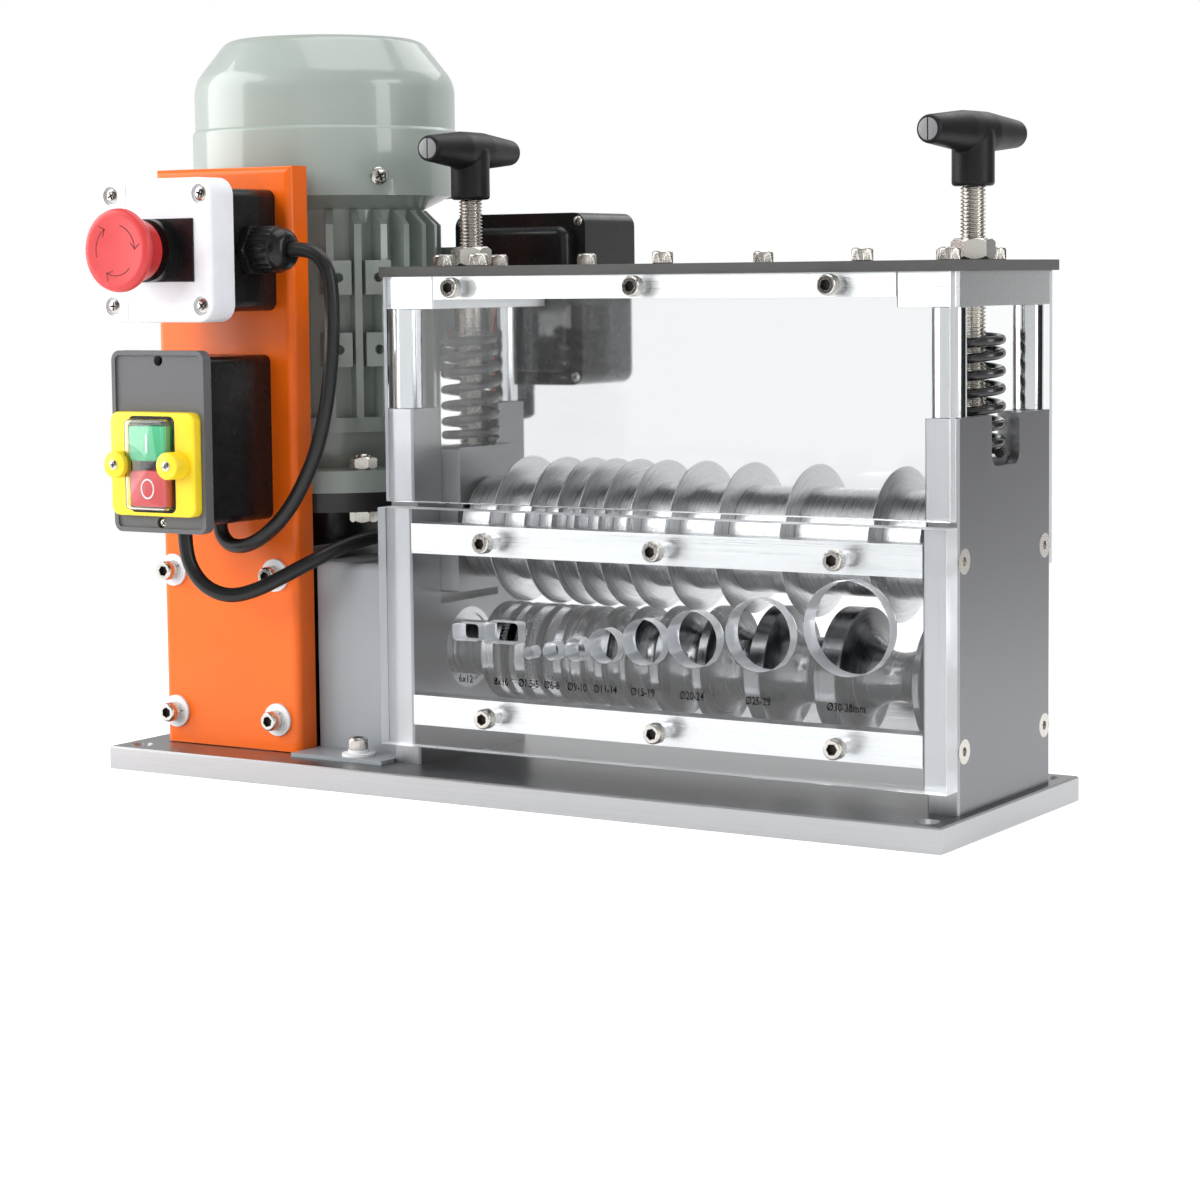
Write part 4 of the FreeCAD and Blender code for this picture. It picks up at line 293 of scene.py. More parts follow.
def add_floor():
    """A lit floor that keeps the shadow near the machine and turns plain white farther away."""
    alone()
    bpy.ops.mesh.primitive_plane_add(size=FLOOR_SIZE)
    floor = bpy.context.object
    floor.name = "studio_floor"
    material, tree, shader = new_material("floor_paper")
    shader.inputs["Base Color"].default_value = (0.9, 0.9, 0.9, 1)
    shader.inputs["Roughness"].default_value = 0.8
    shader.inputs["Specular IOR Level"].default_value = 0.1
    seen = seen_rays(tree, ["Is Camera Ray", "Is Glossy Ray", "Is Transmission Ray"])
    lift = node(tree, "Math", {0: seen, 1: FLOOR_LIFT}, operation="MULTIPLY")
    glow = node(tree, "Emission", {"Strength": lift.outputs[0]})
    near = node(tree, "AddShader", {0: shader.outputs[0], 1: glow.outputs[0]})
    place = node(tree, "TexCoord").outputs["Object"]
    distance = node(tree, "VectorMath", {0: place}, operation="LENGTH").outputs["Value"]
    low, high = FLOOR_FADE
    away = node(tree, "MapRange", {"Value": distance, "From Min": low, "From Max": high},
                interpolation_type="SMOOTHSTEP")
    far = node(tree, "Math", {0: away.outputs[0], 1: seen}, operation="MULTIPLY").outputs[0]
    show(tree, mix_shader(tree, far, near, node(tree, "Emission", {"Strength": 1.0})))
    floor.data.materials.append(material)


def add_card(name, place, width):
    """A tall black card that only mirrors see."""
    alone()
    place = Vector(place)
    turn = (-place).to_track_quat("Z", "Y").to_euler()
    bpy.ops.mesh.primitive_plane_add(size=1, location=place, rotation=turn, scale=(width, CARD_HEIGHT, 1))
    card = bpy.context.object
    card.name = name
    for kind in ("camera", "diffuse", "transmission", "shadow"):
        setattr(card, "visible_" + kind, False)
    material, tree, shader = new_material(name + "_black")
    shader.inputs["Base Color"].default_value = (0.01, 0.01, 0.01, 1)
    shader.inputs["Roughness"].default_value = 1.0
    card.data.materials.append(material)


add_world()
for lamp in LAMPS:
    add_lamp(*lamp)
add_floor()
for card in CARDS:
    add_card(*card)
print("lamps", len(LAMPS), "cards", len(CARDS))

# %% [markdown]
# Several finishes share the same small effects, so each effect is one node group with named inputs:
# fine marks along a grain, rings left by a lathe, and edges that catch the light, where paler paint
# stands partly for wear and partly for a painted highlight.

# %% Shared node groups
PATCH_SHARE = 0.07
EDGE_RADIUS = 0.25 * MM
FACE_FADE = (0.6, 0.85)


def new_group(name, inputs, outputs):
    """A shader node group with these sockets, each given as a name, a kind and a value."""
    tree = bpy.data.node_groups.new(name, "ShaderNodeTree")
    for label, kind, value in inputs:
        socket = tree.interface.new_socket(name=label, in_out="INPUT", socket_type="NodeSocket" + kind)
        if value is not None:
            socket.default_value = value
    for label, kind in outputs:
        tree.interface.new_socket(name=label, in_out="OUTPUT", socket_type="NodeSocket" + kind)
    return tree, tree.nodes.new("NodeGroupInput"), tree.nodes.new("NodeGroupOutput")


def fine_marks_group():
    """Fine marks that follow a stretched vector, and broad uneven patches."""
    tree, source, sink = new_group("fine marks", [("Vector", "Vector", None), ("Scale", "Float", 1.0)],
                                   [("Marks", "Float"), ("Patches", "Float")])
    vector = source.outputs["Vector"]
    scale = source.outputs["Scale"]
    wide = node(tree, "Math", {0: scale, 1: PATCH_SHARE}, operation="MULTIPLY").outputs[0]
    fine = node(tree, "TexNoise", {"Vector": vector, "Scale": scale, "Detail": 4.0, "Roughness": 0.65})
    broad = node(tree, "TexNoise", {"Vector": vector, "Scale": wide, "Detail": 2.0, "Roughness": 0.5})
    feed(tree, sink.inputs["Marks"], fine.outputs["Fac"])
    feed(tree, sink.inputs["Patches"], broad.outputs["Fac"])
    return tree


def lathe_rings_group():
    """Rings round the X axis through a vector's origin, on a cylinder's side and on its end faces."""
    tree, source, sink = new_group("lathe rings", [("Vector", "Vector", None), ("Scale", "Float", 1.0)],
                                   [("Marks", "Float")])
    parts = node(tree, "SeparateXYZ", {0: source.outputs["Vector"]})
    flat = node(tree, "CombineXYZ", {"Y": parts.outputs["Y"], "Z": parts.outputs["Z"]})
    radius = node(tree, "VectorMath", {0: flat.outputs[0]}, operation="LENGTH").outputs["Value"]
    total = node(tree, "Math", {0: parts.outputs["X"], 1: radius}, operation="ADD")
    scaled = node(tree, "Math", {0: total.outputs[0], 1: source.outputs["Scale"]}, operation="MULTIPLY")
    noise = node(tree, "TexNoise", noise_dimensions="1D")
    for name, value in (("W", scaled.outputs[0]), ("Scale", 1.0), ("Detail", 3.0), ("Roughness", 0.7)):
        feed(tree, noise.inputs[name], value)
    feed(tree, sink.inputs["Marks"], noise.outputs["Fac"])
    return tree


def soft_edge_group():
    """A normal that rounds sharp edges, and a mask that is 1 on them."""
    tree, source, sink = new_group("soft edge", [("Sharpness", "Float", 6.0)],
                                   [("Normal", "Vector"), ("Edge", "Float")])
    bevel = node(tree, "Bevel", {"Radius": EDGE_RADIUS}, samples=4).outputs["Normal"]
    flat = node(tree, "NewGeometry").outputs["Normal"]
    alike = node(tree, "VectorMath", {0: bevel, 1: flat}, operation="DOT_PRODUCT").outputs["Value"]
    turned = node(tree, "Math", {0: 1.0, 1: alike}, operation="SUBTRACT").outputs[0]
    mask = node(tree, "Math", {0: turned, 1: source.outputs["Sharpness"]}, operation="MULTIPLY",
                use_clamp=True)
    feed(tree, sink.inputs["Normal"], bevel)
    feed(tree, sink.inputs["Edge"], mask.outputs[0])
    return tree


def face_tone_group():
    """A mask that is 1 where a face looks along an axis, and 0 where it looks across it."""
    tree, source, sink = new_group("face tone", [("Normal", "Vector", None), ("Axis", "Vector", (0, 0, 1))],
                                   [("Along", "Float")])
    dot = node(tree, "VectorMath", {0: source.outputs["Normal"], 1: source.outputs["Axis"]},
               operation="DOT_PRODUCT")
    size = node(tree, "Math", {0: dot.outputs["Value"]}, operation="ABSOLUTE").outputs[0]
    low, high = FACE_FADE
    mask = node(tree, "MapRange", {"Value": size, "From Min": low, "From Max": high})
    feed(tree, sink.inputs["Along"], mask.outputs[0])
    return tree


FINE_MARKS = fine_marks_group()
LATHE_RINGS = lathe_rings_group()
SOFT_EDGE = soft_edge_group()
FACE_TONE = face_tone_group()
print("shared groups", len(bpy.data.node_groups))

# %% [markdown]
# Each finish is a Principled shader whose colour, roughness and bump all come from the same marks, as
# they do on the real surface: a scratch is at once lighter, rougher and lower. The marks' strength is
# what tells a ground plate from a painted sheet or a moulded cover. Plates are rolled on their broad
# faces and milled on their edges. Their broad faces are painted darker, partly for that finish and partly
# as painted shade. The rings on the rollers are centred on the rollers' own axes, which lie along X at
# UNIT_Y.

# %% Finishes
METAL_SCALE = 1000.0
PAINT_SCALE = 450.0
CLEAR_SCALE = 60.0
MARKS_RANGE = (0.25, 0.75)


def grouped(tree, group):
    made = tree.nodes.new("ShaderNodeGroup")
    made.node_tree = group
    return made


def start_finish(name, stretch, marks_group, scale, centre=(0, 0, 0)):
    """A material with marks on stretched object coordinates."""
    material, tree, shader = new_material(name)
    place = node(tree, "TexCoord").outputs["Object"]
    mapping = node(tree, "Mapping", vector_type="TEXTURE")
    feed(tree, mapping.inputs["Vector"], place)
    feed(tree, mapping.inputs["Location"], centre)
    feed(tree, mapping.inputs["Scale"], [1 / part for part in stretch])
    marks = grouped(tree, marks_group)
    feed(tree, marks.inputs["Scale"], scale)
    feed(tree, marks.inputs["Vector"], mapping.outputs[0])
    return material, tree, shader, marks


def mix_colours(tree, shader, factor, first, second, blend="MIX"):
    """Mixes two colours, or another node's colour with one, into a shader's base colour."""
    mix = node(tree, "MixRGB", {"Fac": factor, "Color1": first, "Color2": (*second, 1)}, blend_type=blend)
    feed(tree, shader.inputs["Base Color"], mix.outputs[0])
    return mix.outputs[0]


def roughness_from(tree, shader, factor, low, high):
    start, end = MARKS_RANGE
    spread = node(tree, "MapRange", {"Value": factor, "From Min": start, "From Max": end, "To Min": low,
                                     "To Max": high})
    feed(tree, shader.inputs["Roughness"], spread.outputs[0])


def bump_from(tree, shader, height, depth):
    """Bump by a depth in millimetres over edges that look slightly rounded. Returns their mask."""
    edge = grouped(tree, SOFT_EDGE)
    bump = node(tree, "Bump", {"Strength": 1.0, "Distance": depth * MM, "Height": height,
                               "Normal": edge.outputs["Normal"]})
    feed(tree, shader.inputs["Normal"], bump.outputs[0])
    return edge.outputs["Edge"]


def broad_faces(tree, axis):
    """A mask that is 1 on the faces of a plate that look along an axis."""
    tone = grouped(tree, FACE_TONE)
    feed(tree, tone.inputs["Axis"], axis)
    feed(tree, tone.inputs["Normal"], node(tree, "TexCoord").outputs["Normal"])
    return tone.outputs["Along"]


def painted_shade_on_flats(tree, shader, colour, axis, share):
    """Darkens a plate's broad faces to a share of their colour, as painted shade."""
    return mix_colours(tree, shader, broad_faces(tree, axis), colour, (share, share, share), "MULTIPLY")


def brushed_metal(name, dark, light, roughness, stretch, depth=0.02, group=None, centre=(0, 0, 0),
                  flats=None):
    """Bare metal with marks along its grain, or rings where a group for them is given."""
    material, tree, shader, marks = start_finish(name, stretch, group or FINE_MARKS, METAL_SCALE, centre)
    shader.inputs["Metallic"].default_value = 1.0
    colour = mix_colours(tree, shader, marks.outputs["Marks"], (*dark, 1), light)
    # Where flats are given, the broad faces get painted shade.
    if flats:
        painted_shade_on_flats(tree, shader, colour, *flats)
    roughness_from(tree, shader, marks.outputs["Marks"], roughness - 0.07, roughness + 0.09)
    bump_from(tree, shader, marks.outputs["Marks"], depth)
    return material


def painted_metal(name, colour, roughness, texture=0.06, edge_wear_and_highlight=None, coat=0.0, shine=0.5, flats=None):
    """Paint with a slight orange peel, patches of handling, and paler edges, partly wear and partly a painted
    highlight, where a colour is given.
    """
    material, tree, shader, marks = start_finish(name, (1, 1, 1), FINE_MARKS, PAINT_SCALE)
    dark = [part * 0.88 for part in colour]
    mixed = mix_colours(tree, shader, marks.outputs["Patches"], (*dark, 1), colour)
    # Where flats are given, the broad faces get painted shade.
    if flats:
        mixed = painted_shade_on_flats(tree, shader, mixed, *flats)
    roughness_from(tree, shader, marks.outputs["Patches"], roughness - 0.05, roughness + 0.08)
    shader.inputs["Specular IOR Level"].default_value = shine
    shader.inputs["Coat Weight"].default_value = coat
    shader.inputs["Coat Roughness"].default_value = 0.06
    edge = bump_from(tree, shader, marks.outputs["Marks"], texture)
    # Paler paint on edges: partly wear and partly a painted highlight.
    if edge_wear_and_highlight:
        wear_and_highlight_mask = node(tree, "Math", {0: edge, 1: marks.outputs["Patches"]}, operation="MULTIPLY")
        mix_colours(tree, shader, wear_and_highlight_mask.outputs[0], mixed, edge_wear_and_highlight)
    return material


def moulded_plastic(name, colour, roughness, grain=0.02, scale=1400.0, coat=0.0, shine=0.5):
    """Plastic with a fine moulded grain and faint marks of handling."""
    material, tree, shader, marks = start_finish(name, (1, 1, 1), FINE_MARKS, scale)
    light = [min(1.0, part * 1.12 + 0.004) for part in colour]
    mix_colours(tree, shader, marks.outputs["Patches"], (*colour, 1), light)
    roughness_from(tree, shader, marks.outputs["Patches"], roughness - 0.05, roughness + 0.07)
    shader.inputs["Specular IOR Level"].default_value = shine
    shader.inputs["Coat Weight"].default_value = coat
    shader.inputs["Coat Roughness"].default_value = 0.12
    bump_from(tree, shader, marks.outputs["Marks"], grain)
    return material


def clear_plastic(name, colour, roughness, cut_edge, clearness=1.0):
    """Clear plastic, hazier on its cut edges, that lets lamplight through to what it covers."""
    material, tree, shader, marks = start_finish(name, (1, 1, 1), FINE_MARKS, CLEAR_SCALE)
    dark = [part * 0.985 for part in colour]
    mix_colours(tree, shader, marks.outputs["Patches"], (*dark, 1), colour)
    spread = node(tree, "MapRange", {"Value": broad_faces(tree, (0, 1, 0)), "To Min": cut_edge,
                                     "To Max": roughness})
    feed(tree, shader.inputs["Roughness"], spread.outputs[0])
    shader.inputs["Transmission Weight"].default_value = clearness
    shader.inputs["IOR"].default_value = 1.49
    clear = node(tree, "BsdfTransparent", {"Color": (*[part * 0.97 for part in colour], 1)})
    show(tree, mix_shader(tree, seen_rays(tree, ["Is Shadow Ray", "Is Diffuse Ray"]), shader, clear))
    return material


UNIT_Y = 2.0
FEED_Z = 67.0
BLADE_Z = 129.7
ROLLER_AXIS = (0.0, UNIT_Y * MM, FEED_Z * MM)
BLADE_AXIS = (0.0, UNIT_Y * MM, BLADE_Z * MM)
ALONG_X = (0.012, 1.6, 1.6)
UPRIGHT = (1.6, 1.6, 0.012)
EVEN = (1, 1, 1)

# The flats entries darken broad faces as painted shade: the tops of the base and of the dark plate, and the
# sides of the end plates.
finishes = {
    "ground_steel": brushed_metal("ground_steel", (0.44, 0.445, 0.455), (0.60, 0.605, 0.615), 0.33, ALONG_X,
                                  flats=((0, 0, 1), 0.52)),
    "end_plate_steel": brushed_metal("end_plate_steel", (0.37, 0.375, 0.39), (0.50, 0.505, 0.52), 0.35,
                                     UPRIGHT, flats=((1, 0, 0), 0.56)),
    "bright_bar": brushed_metal("bright_bar", (0.64, 0.65, 0.66), (0.82, 0.83, 0.84), 0.30, ALONG_X),
    "chrome_rod": brushed_metal("chrome_rod", (0.60, 0.62, 0.64), (0.70, 0.72, 0.74), 0.09, EVEN, 0.002),
    "dark_plate": painted_metal("dark_plate", (0.085, 0.083, 0.08), 0.46, 0.03, flats=((0, 0, 1), 0.2)),
    "zinc_screw": brushed_metal("zinc_screw", (0.60, 0.575, 0.53), (0.67, 0.645, 0.60), 0.24, EVEN, 0.003),
    "bearing_steel": brushed_metal("bearing_steel", (0.45, 0.46, 0.47), (0.60, 0.61, 0.62), 0.22, EVEN,
                                   0.005),
    "roller_steel": brushed_metal("roller_steel", (0.15, 0.153, 0.16), (0.21, 0.213, 0.22), 0.22, EVEN, 0.004,
                                  LATHE_RINGS, ROLLER_AXIS),
    "blade_steel": brushed_metal("blade_steel", (0.58, 0.585, 0.595), (0.66, 0.665, 0.675), 0.29, EVEN, 0.004,
                                 LATHE_RINGS, BLADE_AXIS),
    "spring_steel": painted_metal("spring_steel", (0.012, 0.012, 0.013), 0.22, 0.02, coat=0.4),
    "wheel_bronze": brushed_metal("wheel_bronze", (0.42, 0.24, 0.08), (0.62, 0.38, 0.15), 0.32, EVEN, 0.01),
    "clear_acrylic": clear_plastic("clear_acrylic", (0.975, 0.985, 0.99), 0.045, 0.16),
    "clear_membrane": clear_plastic("clear_membrane", (0.97, 0.98, 0.985), 0.02, 0.05),
    "motor_paint": painted_metal("motor_paint", (0.35, 0.40, 0.36), 0.34, 0.015, coat=0.6),
    # Near-black for the gearbox, partly its own dark paint and partly painted shade behind the orange panel.
    "black_paint": painted_metal("black_paint", (0.018, 0.018, 0.019), 0.33, 0.07, coat=0.2),
    # The orange's paler edge colour is partly wear and partly a painted highlight.
    "orange_paint": painted_metal("orange_paint", (0.96, 0.15, 0.003), 0.32, 0.015, (0.9, 0.3, 0.1), 0.25,
                                  0.3),
    "grey_paint": painted_metal("grey_paint", (0.34, 0.365, 0.385), 0.34, 0.03, coat=0.2),
    "black_plastic": moulded_plastic("black_plastic", (0.006, 0.006, 0.0065), 0.26, coat=0.1, shine=0.3),
    "grained_plastic": moulded_plastic("grained_plastic", (0.11, 0.112, 0.118), 0.50, 0.25, 900.0),
    "white_plastic": moulded_plastic("white_plastic", (0.78, 0.79, 0.82), 0.40),
    "red_plastic": moulded_plastic("red_plastic", (0.58, 0.035, 0.037), 0.36, coat=0.12),
    "green_plastic": moulded_plastic("green_plastic", (0.02, 0.40, 0.16), 0.35),
    "yellow_plastic": moulded_plastic("yellow_plastic", (0.90, 0.64, 0.012), 0.34, coat=0.15),
    "cord_sheath": moulded_plastic("cord_sheath", (0.008, 0.008, 0.008), 0.34, 0.015, shine=0.4),
}
handle_black = moulded_plastic("handle_black", (0.008, 0.008, 0.009), 0.40, shine=0.22)
# Dark paint for the faces inside sockets and cross recesses, a painted shade where little light reaches.
painted_socket_shade = painted_metal("painted_socket_shade", (0.035, 0.03, 0.026), 0.5, 0.01)
cut_acrylic = clear_plastic("cut_acrylic", (0.96, 0.98, 1.0), 0.30, 0.30, 0.55)
plug_grey = moulded_plastic("plug_grey", (0.20, 0.20, 0.205), 0.42)
print_ink = moulded_plastic("print_ink", (0.004, 0.004, 0.004), 0.7, shine=0.0)
arrow_red = moulded_plastic("arrow_red", (0.22, 0.008, 0.008), 0.5)
for cord in cords:
    cord.data.materials.append(finishes["cord_sheath"])
slot_of = {part["node"]: part["material_slot"] for part in frame["record"]["subparts"]}
for name, item in frame["nodes"].items():
    item.data.materials.clear()
    item.data.materials.append(finishes[slot_of[name]])
print("finishes", len(finishes))

# %% [markdown]
# New pieces start from a primitive and are shaped in edit mode. These helpers wrap the few operators
# that come back for every piece: picking faces or edges by their place, turning a profile on a lathe,
# and rounding a block's edges.

# %% Modelling helpers


def pick(piece, kind, test):
    """In edit mode, selects the vertices, edges or faces that a test chooses."""
    bpy.ops.mesh.select_mode(type=kind)
    bpy.ops.mesh.select_all(action="DESELECT")
    mesh = bmesh.from_edit_mesh(piece.data)
    items = {"VERT": mesh.verts, "EDGE": mesh.edges, "FACE": mesh.faces}[kind]
    for item in items:
        if test(item):
            item.select_set(True)
    mesh.select_flush_mode()
    bmesh.update_edit_mesh(piece.data)


def runs_along(edge, axis):
    return abs((edge.verts[1].co - edge.verts[0].co).normalized().dot(axis)) > 0.999


def bake_place(piece):
    """Puts the piece's place into its mesh, so that its object sits at the origin."""
    alone(piece)
    bpy.ops.object.transform_apply(location=True, rotation=True, scale=True)


def outward(piece, fill=False):
    """Merges doubles, closes open ends if asked, and turns all faces outwards."""
    alone(piece, "EDIT")
    bpy.ops.mesh.select_all(action="SELECT")
    bpy.ops.mesh.remove_doubles(threshold=0.002 * MM)
    if fill:
        bpy.ops.mesh.fill_holes(sides=0)
        bpy.ops.mesh.select_all(action="SELECT")
    bpy.ops.mesh.normals_make_consistent(inside=False)
    bpy.ops.object.mode_set(mode="OBJECT")
    return piece


def modify(piece, kind, **settings):
    """Gives a piece a modifier with these settings, and applies it."""
    alone(piece)
    modifier = piece.modifiers.new(kind.lower(), kind)
    for key, value in settings.items():
        setattr(modifier, key, value)
    bpy.ops.object.modifier_apply(modifier=modifier.name)
    return piece


def dress(piece, name, body, finish, smooth=35, stands_for=(), paint=None):
    """Names a finished piece, smooths it, gives it its material and lets it ride on its body."""
    bake_place(piece)
    piece.name = name
    bpy.ops.object.shade_smooth_by_angle(angle=math.radians(smooth))
    if len(piece.data.materials) < 2:
        piece.data.materials.clear()
        piece.data.materials.append(finishes[finish])
    piece.data.materials[0] = paint or finishes[finish]
    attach(piece, body)
    if stands_for:
        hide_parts(*stands_for)
    return piece


def second_finish(piece, materials, test):
    """Gives the faces that a test chooses the second of two materials."""
    piece.data.materials.clear()
    for material in materials:
        piece.data.materials.append(material)
    for face in piece.data.polygons:
        if test(face):
            face.material_index = 1


def join(pieces):
    alone(pieces[0])
    for piece in pieces:
        piece.select_set(True)
    if len(pieces) > 1:
        bpy.ops.object.join()
    return pieces[0]


def block(low, high, round_edges=0.0, axis=None, segments=4):
    """A cube sized between two corners, with its edges along one axis, or all of them, rounded."""
    alone()
    low = Vector(low) * MM
    high = Vector(high) * MM
    bpy.ops.mesh.primitive_cube_add(size=1, location=(low + high) / 2, scale=high - low)
    piece = bpy.context.object
    bake_place(piece)
    if round_edges:
        bevel_edges(piece, round_edges, segments, lambda edge: axis is None or runs_along(edge, axis))
    return piece


def bevel_edges(piece, size, segments, test):
    alone(piece, "EDIT")
    pick(piece, "EDGE", test)
    bpy.ops.mesh.bevel(offset=size * MM, segments=segments, affect="EDGES", clamp_overlap=True)
    bpy.ops.object.mode_set(mode="OBJECT")


def dot_at(place):
    """A single point in edit mode, the start of an outline that is drawn by extruding it."""
    alone()
    bpy.ops.mesh.primitive_circle_add(vertices=3, radius=MM)
    bpy.ops.object.mode_set(mode="EDIT")
    bpy.ops.mesh.select_mode(type="VERT")
    bpy.ops.mesh.select_all(action="SELECT")
    bpy.ops.mesh.merge(type="CENTER")
    bpy.ops.transform.translate(value=place)
    return bpy.context.object


def lathe(profile, centre, axis=X, steps=72, turn=math.tau):
    """Spins a chain of points round an axis. Each point is a distance along it and a radius."""
    centre = Vector(centre) * MM
    across = Z if abs(axis.dot(Z)) < 0.9 else X
    places = [centre + axis * (along * MM) + across * (radius * MM) for along, radius in profile]
    piece = dot_at(places[0])
    for before, after in zip(places, places[1:]):
        bpy.ops.mesh.extrude_region_move(TRANSFORM_OT_translate={"value": after - before})
    bpy.ops.mesh.select_all(action="SELECT")
    bpy.ops.mesh.spin(steps=steps, angle=turn, center=centre, axis=axis)
    return outward(piece, fill=turn < math.tau)


def rod_profile(start, end, radius, chamfer=0.0):
    """A bar's outline for the lathe, with its end corners cut back where a chamfer is given."""
    if not chamfer:
        return [(start, 0), (start, radius), (end, radius), (end, 0)]
    return [(start, 0), (start, radius - chamfer), (start + chamfer, radius), (end - chamfer, radius),
            (end, radius - chamfer), (end, 0)]


def tube_profile(start, end, bore, radius, chamfer=0.0):
    """The same outline round a bore."""
    return [(start, bore)] + rod_profile(start, end, radius, chamfer)[1:-1] + [(end, bore), (start, bore)]


def cut(piece, cutters, operation="DIFFERENCE"):
    """Takes the cutters out of a piece with one boolean, or joins or crosses them."""
    cutter = join(cutters)
    modify(piece, "BOOLEAN", object=cutter, solver="EXACT", operation=operation)
    bpy.data.objects.remove(cutter)
    return piece


def copy_of(piece):
    twin = piece.copy()
    twin.data = piece.data.copy()
    bpy.context.collection.objects.link(twin)
    return twin


def moved(piece, place, turn):
    """Turns a piece by a matrix, moves it to a point in millimetres and bakes its place."""
    piece.matrix_world = Matrix.Translation(Vector(place) * MM) @ turn
    bake_place(piece)
    return piece


def placed(piece, place, direction, spin=0.0):
    """Turns a piece modelled along +Z to a direction, and moves it to a point in millimetres."""
    turn = Z.rotation_difference(Vector(direction)).to_matrix().to_4x4()
    return moved(piece, place, turn @ Matrix.Rotation(spin, 4, "Z"))


def arc(middle_along, middle_radius, size, start, end, steps):
    """Points of a circle in a lathe's profile, between two angles in degrees."""
    points = []
    for i in range(steps + 1):
        angle = math.radians(start + (end - start) * i / steps)
        points.append((middle_along + size * math.cos(angle), middle_radius + size * math.sin(angle)))
    return points


# %% [markdown]
# The guide rods, the rollers and the discs are turned parts, so each is a short profile spun round its
# axis. The discs keep their own thin ground edge, which is what makes the row of them read as blades.

# %% Rods and rollers
ROD_RADIUS = 7.5
ROD_CHAMFER = 0.4
DISC_X = (-24.0, -3.0, 13.0, 26.0, 40.0, 56.0, 78.0, 105.0, 140.5, 186.5)
DISC_RADIUS = 37.0
DISC_HALF = 1.75
DISC_BORE = 10.05
DISC_GRIND = 6.0
DISC_TIP = 0.2


def guide_rods():
    low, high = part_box("guide_rods")
    rods = []
    for x in (low.x / MM + ROD_RADIUS, high.x / MM - ROD_RADIUS):
        for y in (low.y / MM + ROD_RADIUS, high.y / MM - ROD_RADIUS):
            profile = rod_profile(0, (high.z - low.z) / MM, ROD_RADIUS, ROD_CHAMFER)
            rods.append(lathe(profile, (x, y, low.z / MM), Z, 48))
    dress(join(rods), "polished_guide_rods", "machine_frame", "chrome_rod", stands_for=["guide_rods"])


def slitting_discs():
    flank = DISC_RADIUS - DISC_GRIND
    tip = DISC_RADIUS - DISC_TIP / 2
    profile = [(-DISC_HALF, DISC_BORE), (-DISC_HALF, flank), (-DISC_TIP, tip), (0, DISC_RADIUS),
               (DISC_TIP, tip), (DISC_HALF, flank), (DISC_HALF, DISC_BORE), (-DISC_HALF, DISC_BORE)]
    discs = [lathe(profile, (x, UNIT_Y, BLADE_Z), X, 96) for x in DISC_X]
    dress(join(discs), "ground_slitting_discs", "blade_roller", "blade_steel", 20, ["slitting_discs"])


def blade_spacers():
    low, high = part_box("blade_spacers")
    radius = (high.z - low.z) / MM / 2
    spacers = []
    start = low.x / MM
    for stop in DISC_X + (high.x / MM + DISC_HALF,):
        profile = tube_profile(start, stop - DISC_HALF, DISC_BORE, radius, ROD_CHAMFER)
        spacers.append(lathe(profile, (0, UNIT_Y, BLADE_Z), X, 72))
        start = stop + DISC_HALF
    dress(join(spacers), "turned_spacers", "blade_roller", "blade_steel", 30, ["blade_spacers"])


guide_rods()
slitting_discs()
blade_spacers()
print("rods and rollers made")

# %% [markdown]
# The two springs are thick black wire. A helix of NURBS points with a closed turn at each end is bevelled
# to the wire's thickness and turned into a mesh, which rides on the blade carriage.

# %% Springs
SPRING_WIRE = 4.5
SPRING_RADIUS = 13.25
SPRING_TURNS = 7.5
SPRING_CLOSED_PITCH = 4.95
SPRING_STEPS = 16


def spring(side):
    low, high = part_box(side + "_spring")
    middle = (low + high) / 2 / MM
    rise = (high.z - low.z) / MM - SPRING_WIRE
    pitch = (rise - 2 * SPRING_CLOSED_PITCH) / (SPRING_TURNS - 2)
    points = []
    for i in range(int(SPRING_TURNS * SPRING_STEPS) + 1):
        turn = i / SPRING_STEPS
        height = turn * SPRING_CLOSED_PITCH
        if turn > 1:
            height = SPRING_CLOSED_PITCH + (turn - 1) * pitch
        if turn > SPRING_TURNS - 1:
            height = rise - (SPRING_TURNS - turn) * SPRING_CLOSED_PITCH
        angle = math.tau * turn
        points.append((middle.x + SPRING_RADIUS * math.cos(angle), UNIT_Y + SPRING_RADIUS * math.sin(angle),
                       low.z / MM + SPRING_WIRE / 2 + height))
    tube = nurbs_tube(side + "_coil", points, SPRING_WIRE, 4)
    alone(tube)
    bpy.ops.object.convert(target="MESH")
    coil = dress(bpy.context.object, side + "_coil_spring", "blade_carriage", "spring_steel",
                 stands_for=[side + "_spring"])
    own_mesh(coil)


for side in ("left", "right"):
    spring(side)

# %% [markdown]
# An M12 thread is a ridge that climbs 1.75 mm a turn. One ridge's outline is drawn beside the axis, and
# the Screw modifier sweeps it up round the rod, so that the crests catch the light as real ones do.

# %% Adjusting screws
THREAD_PITCH = 1.75
THREAD_CREST = 5.95
THREAD_ROOT = 4.95
THREAD_STEPS = 28


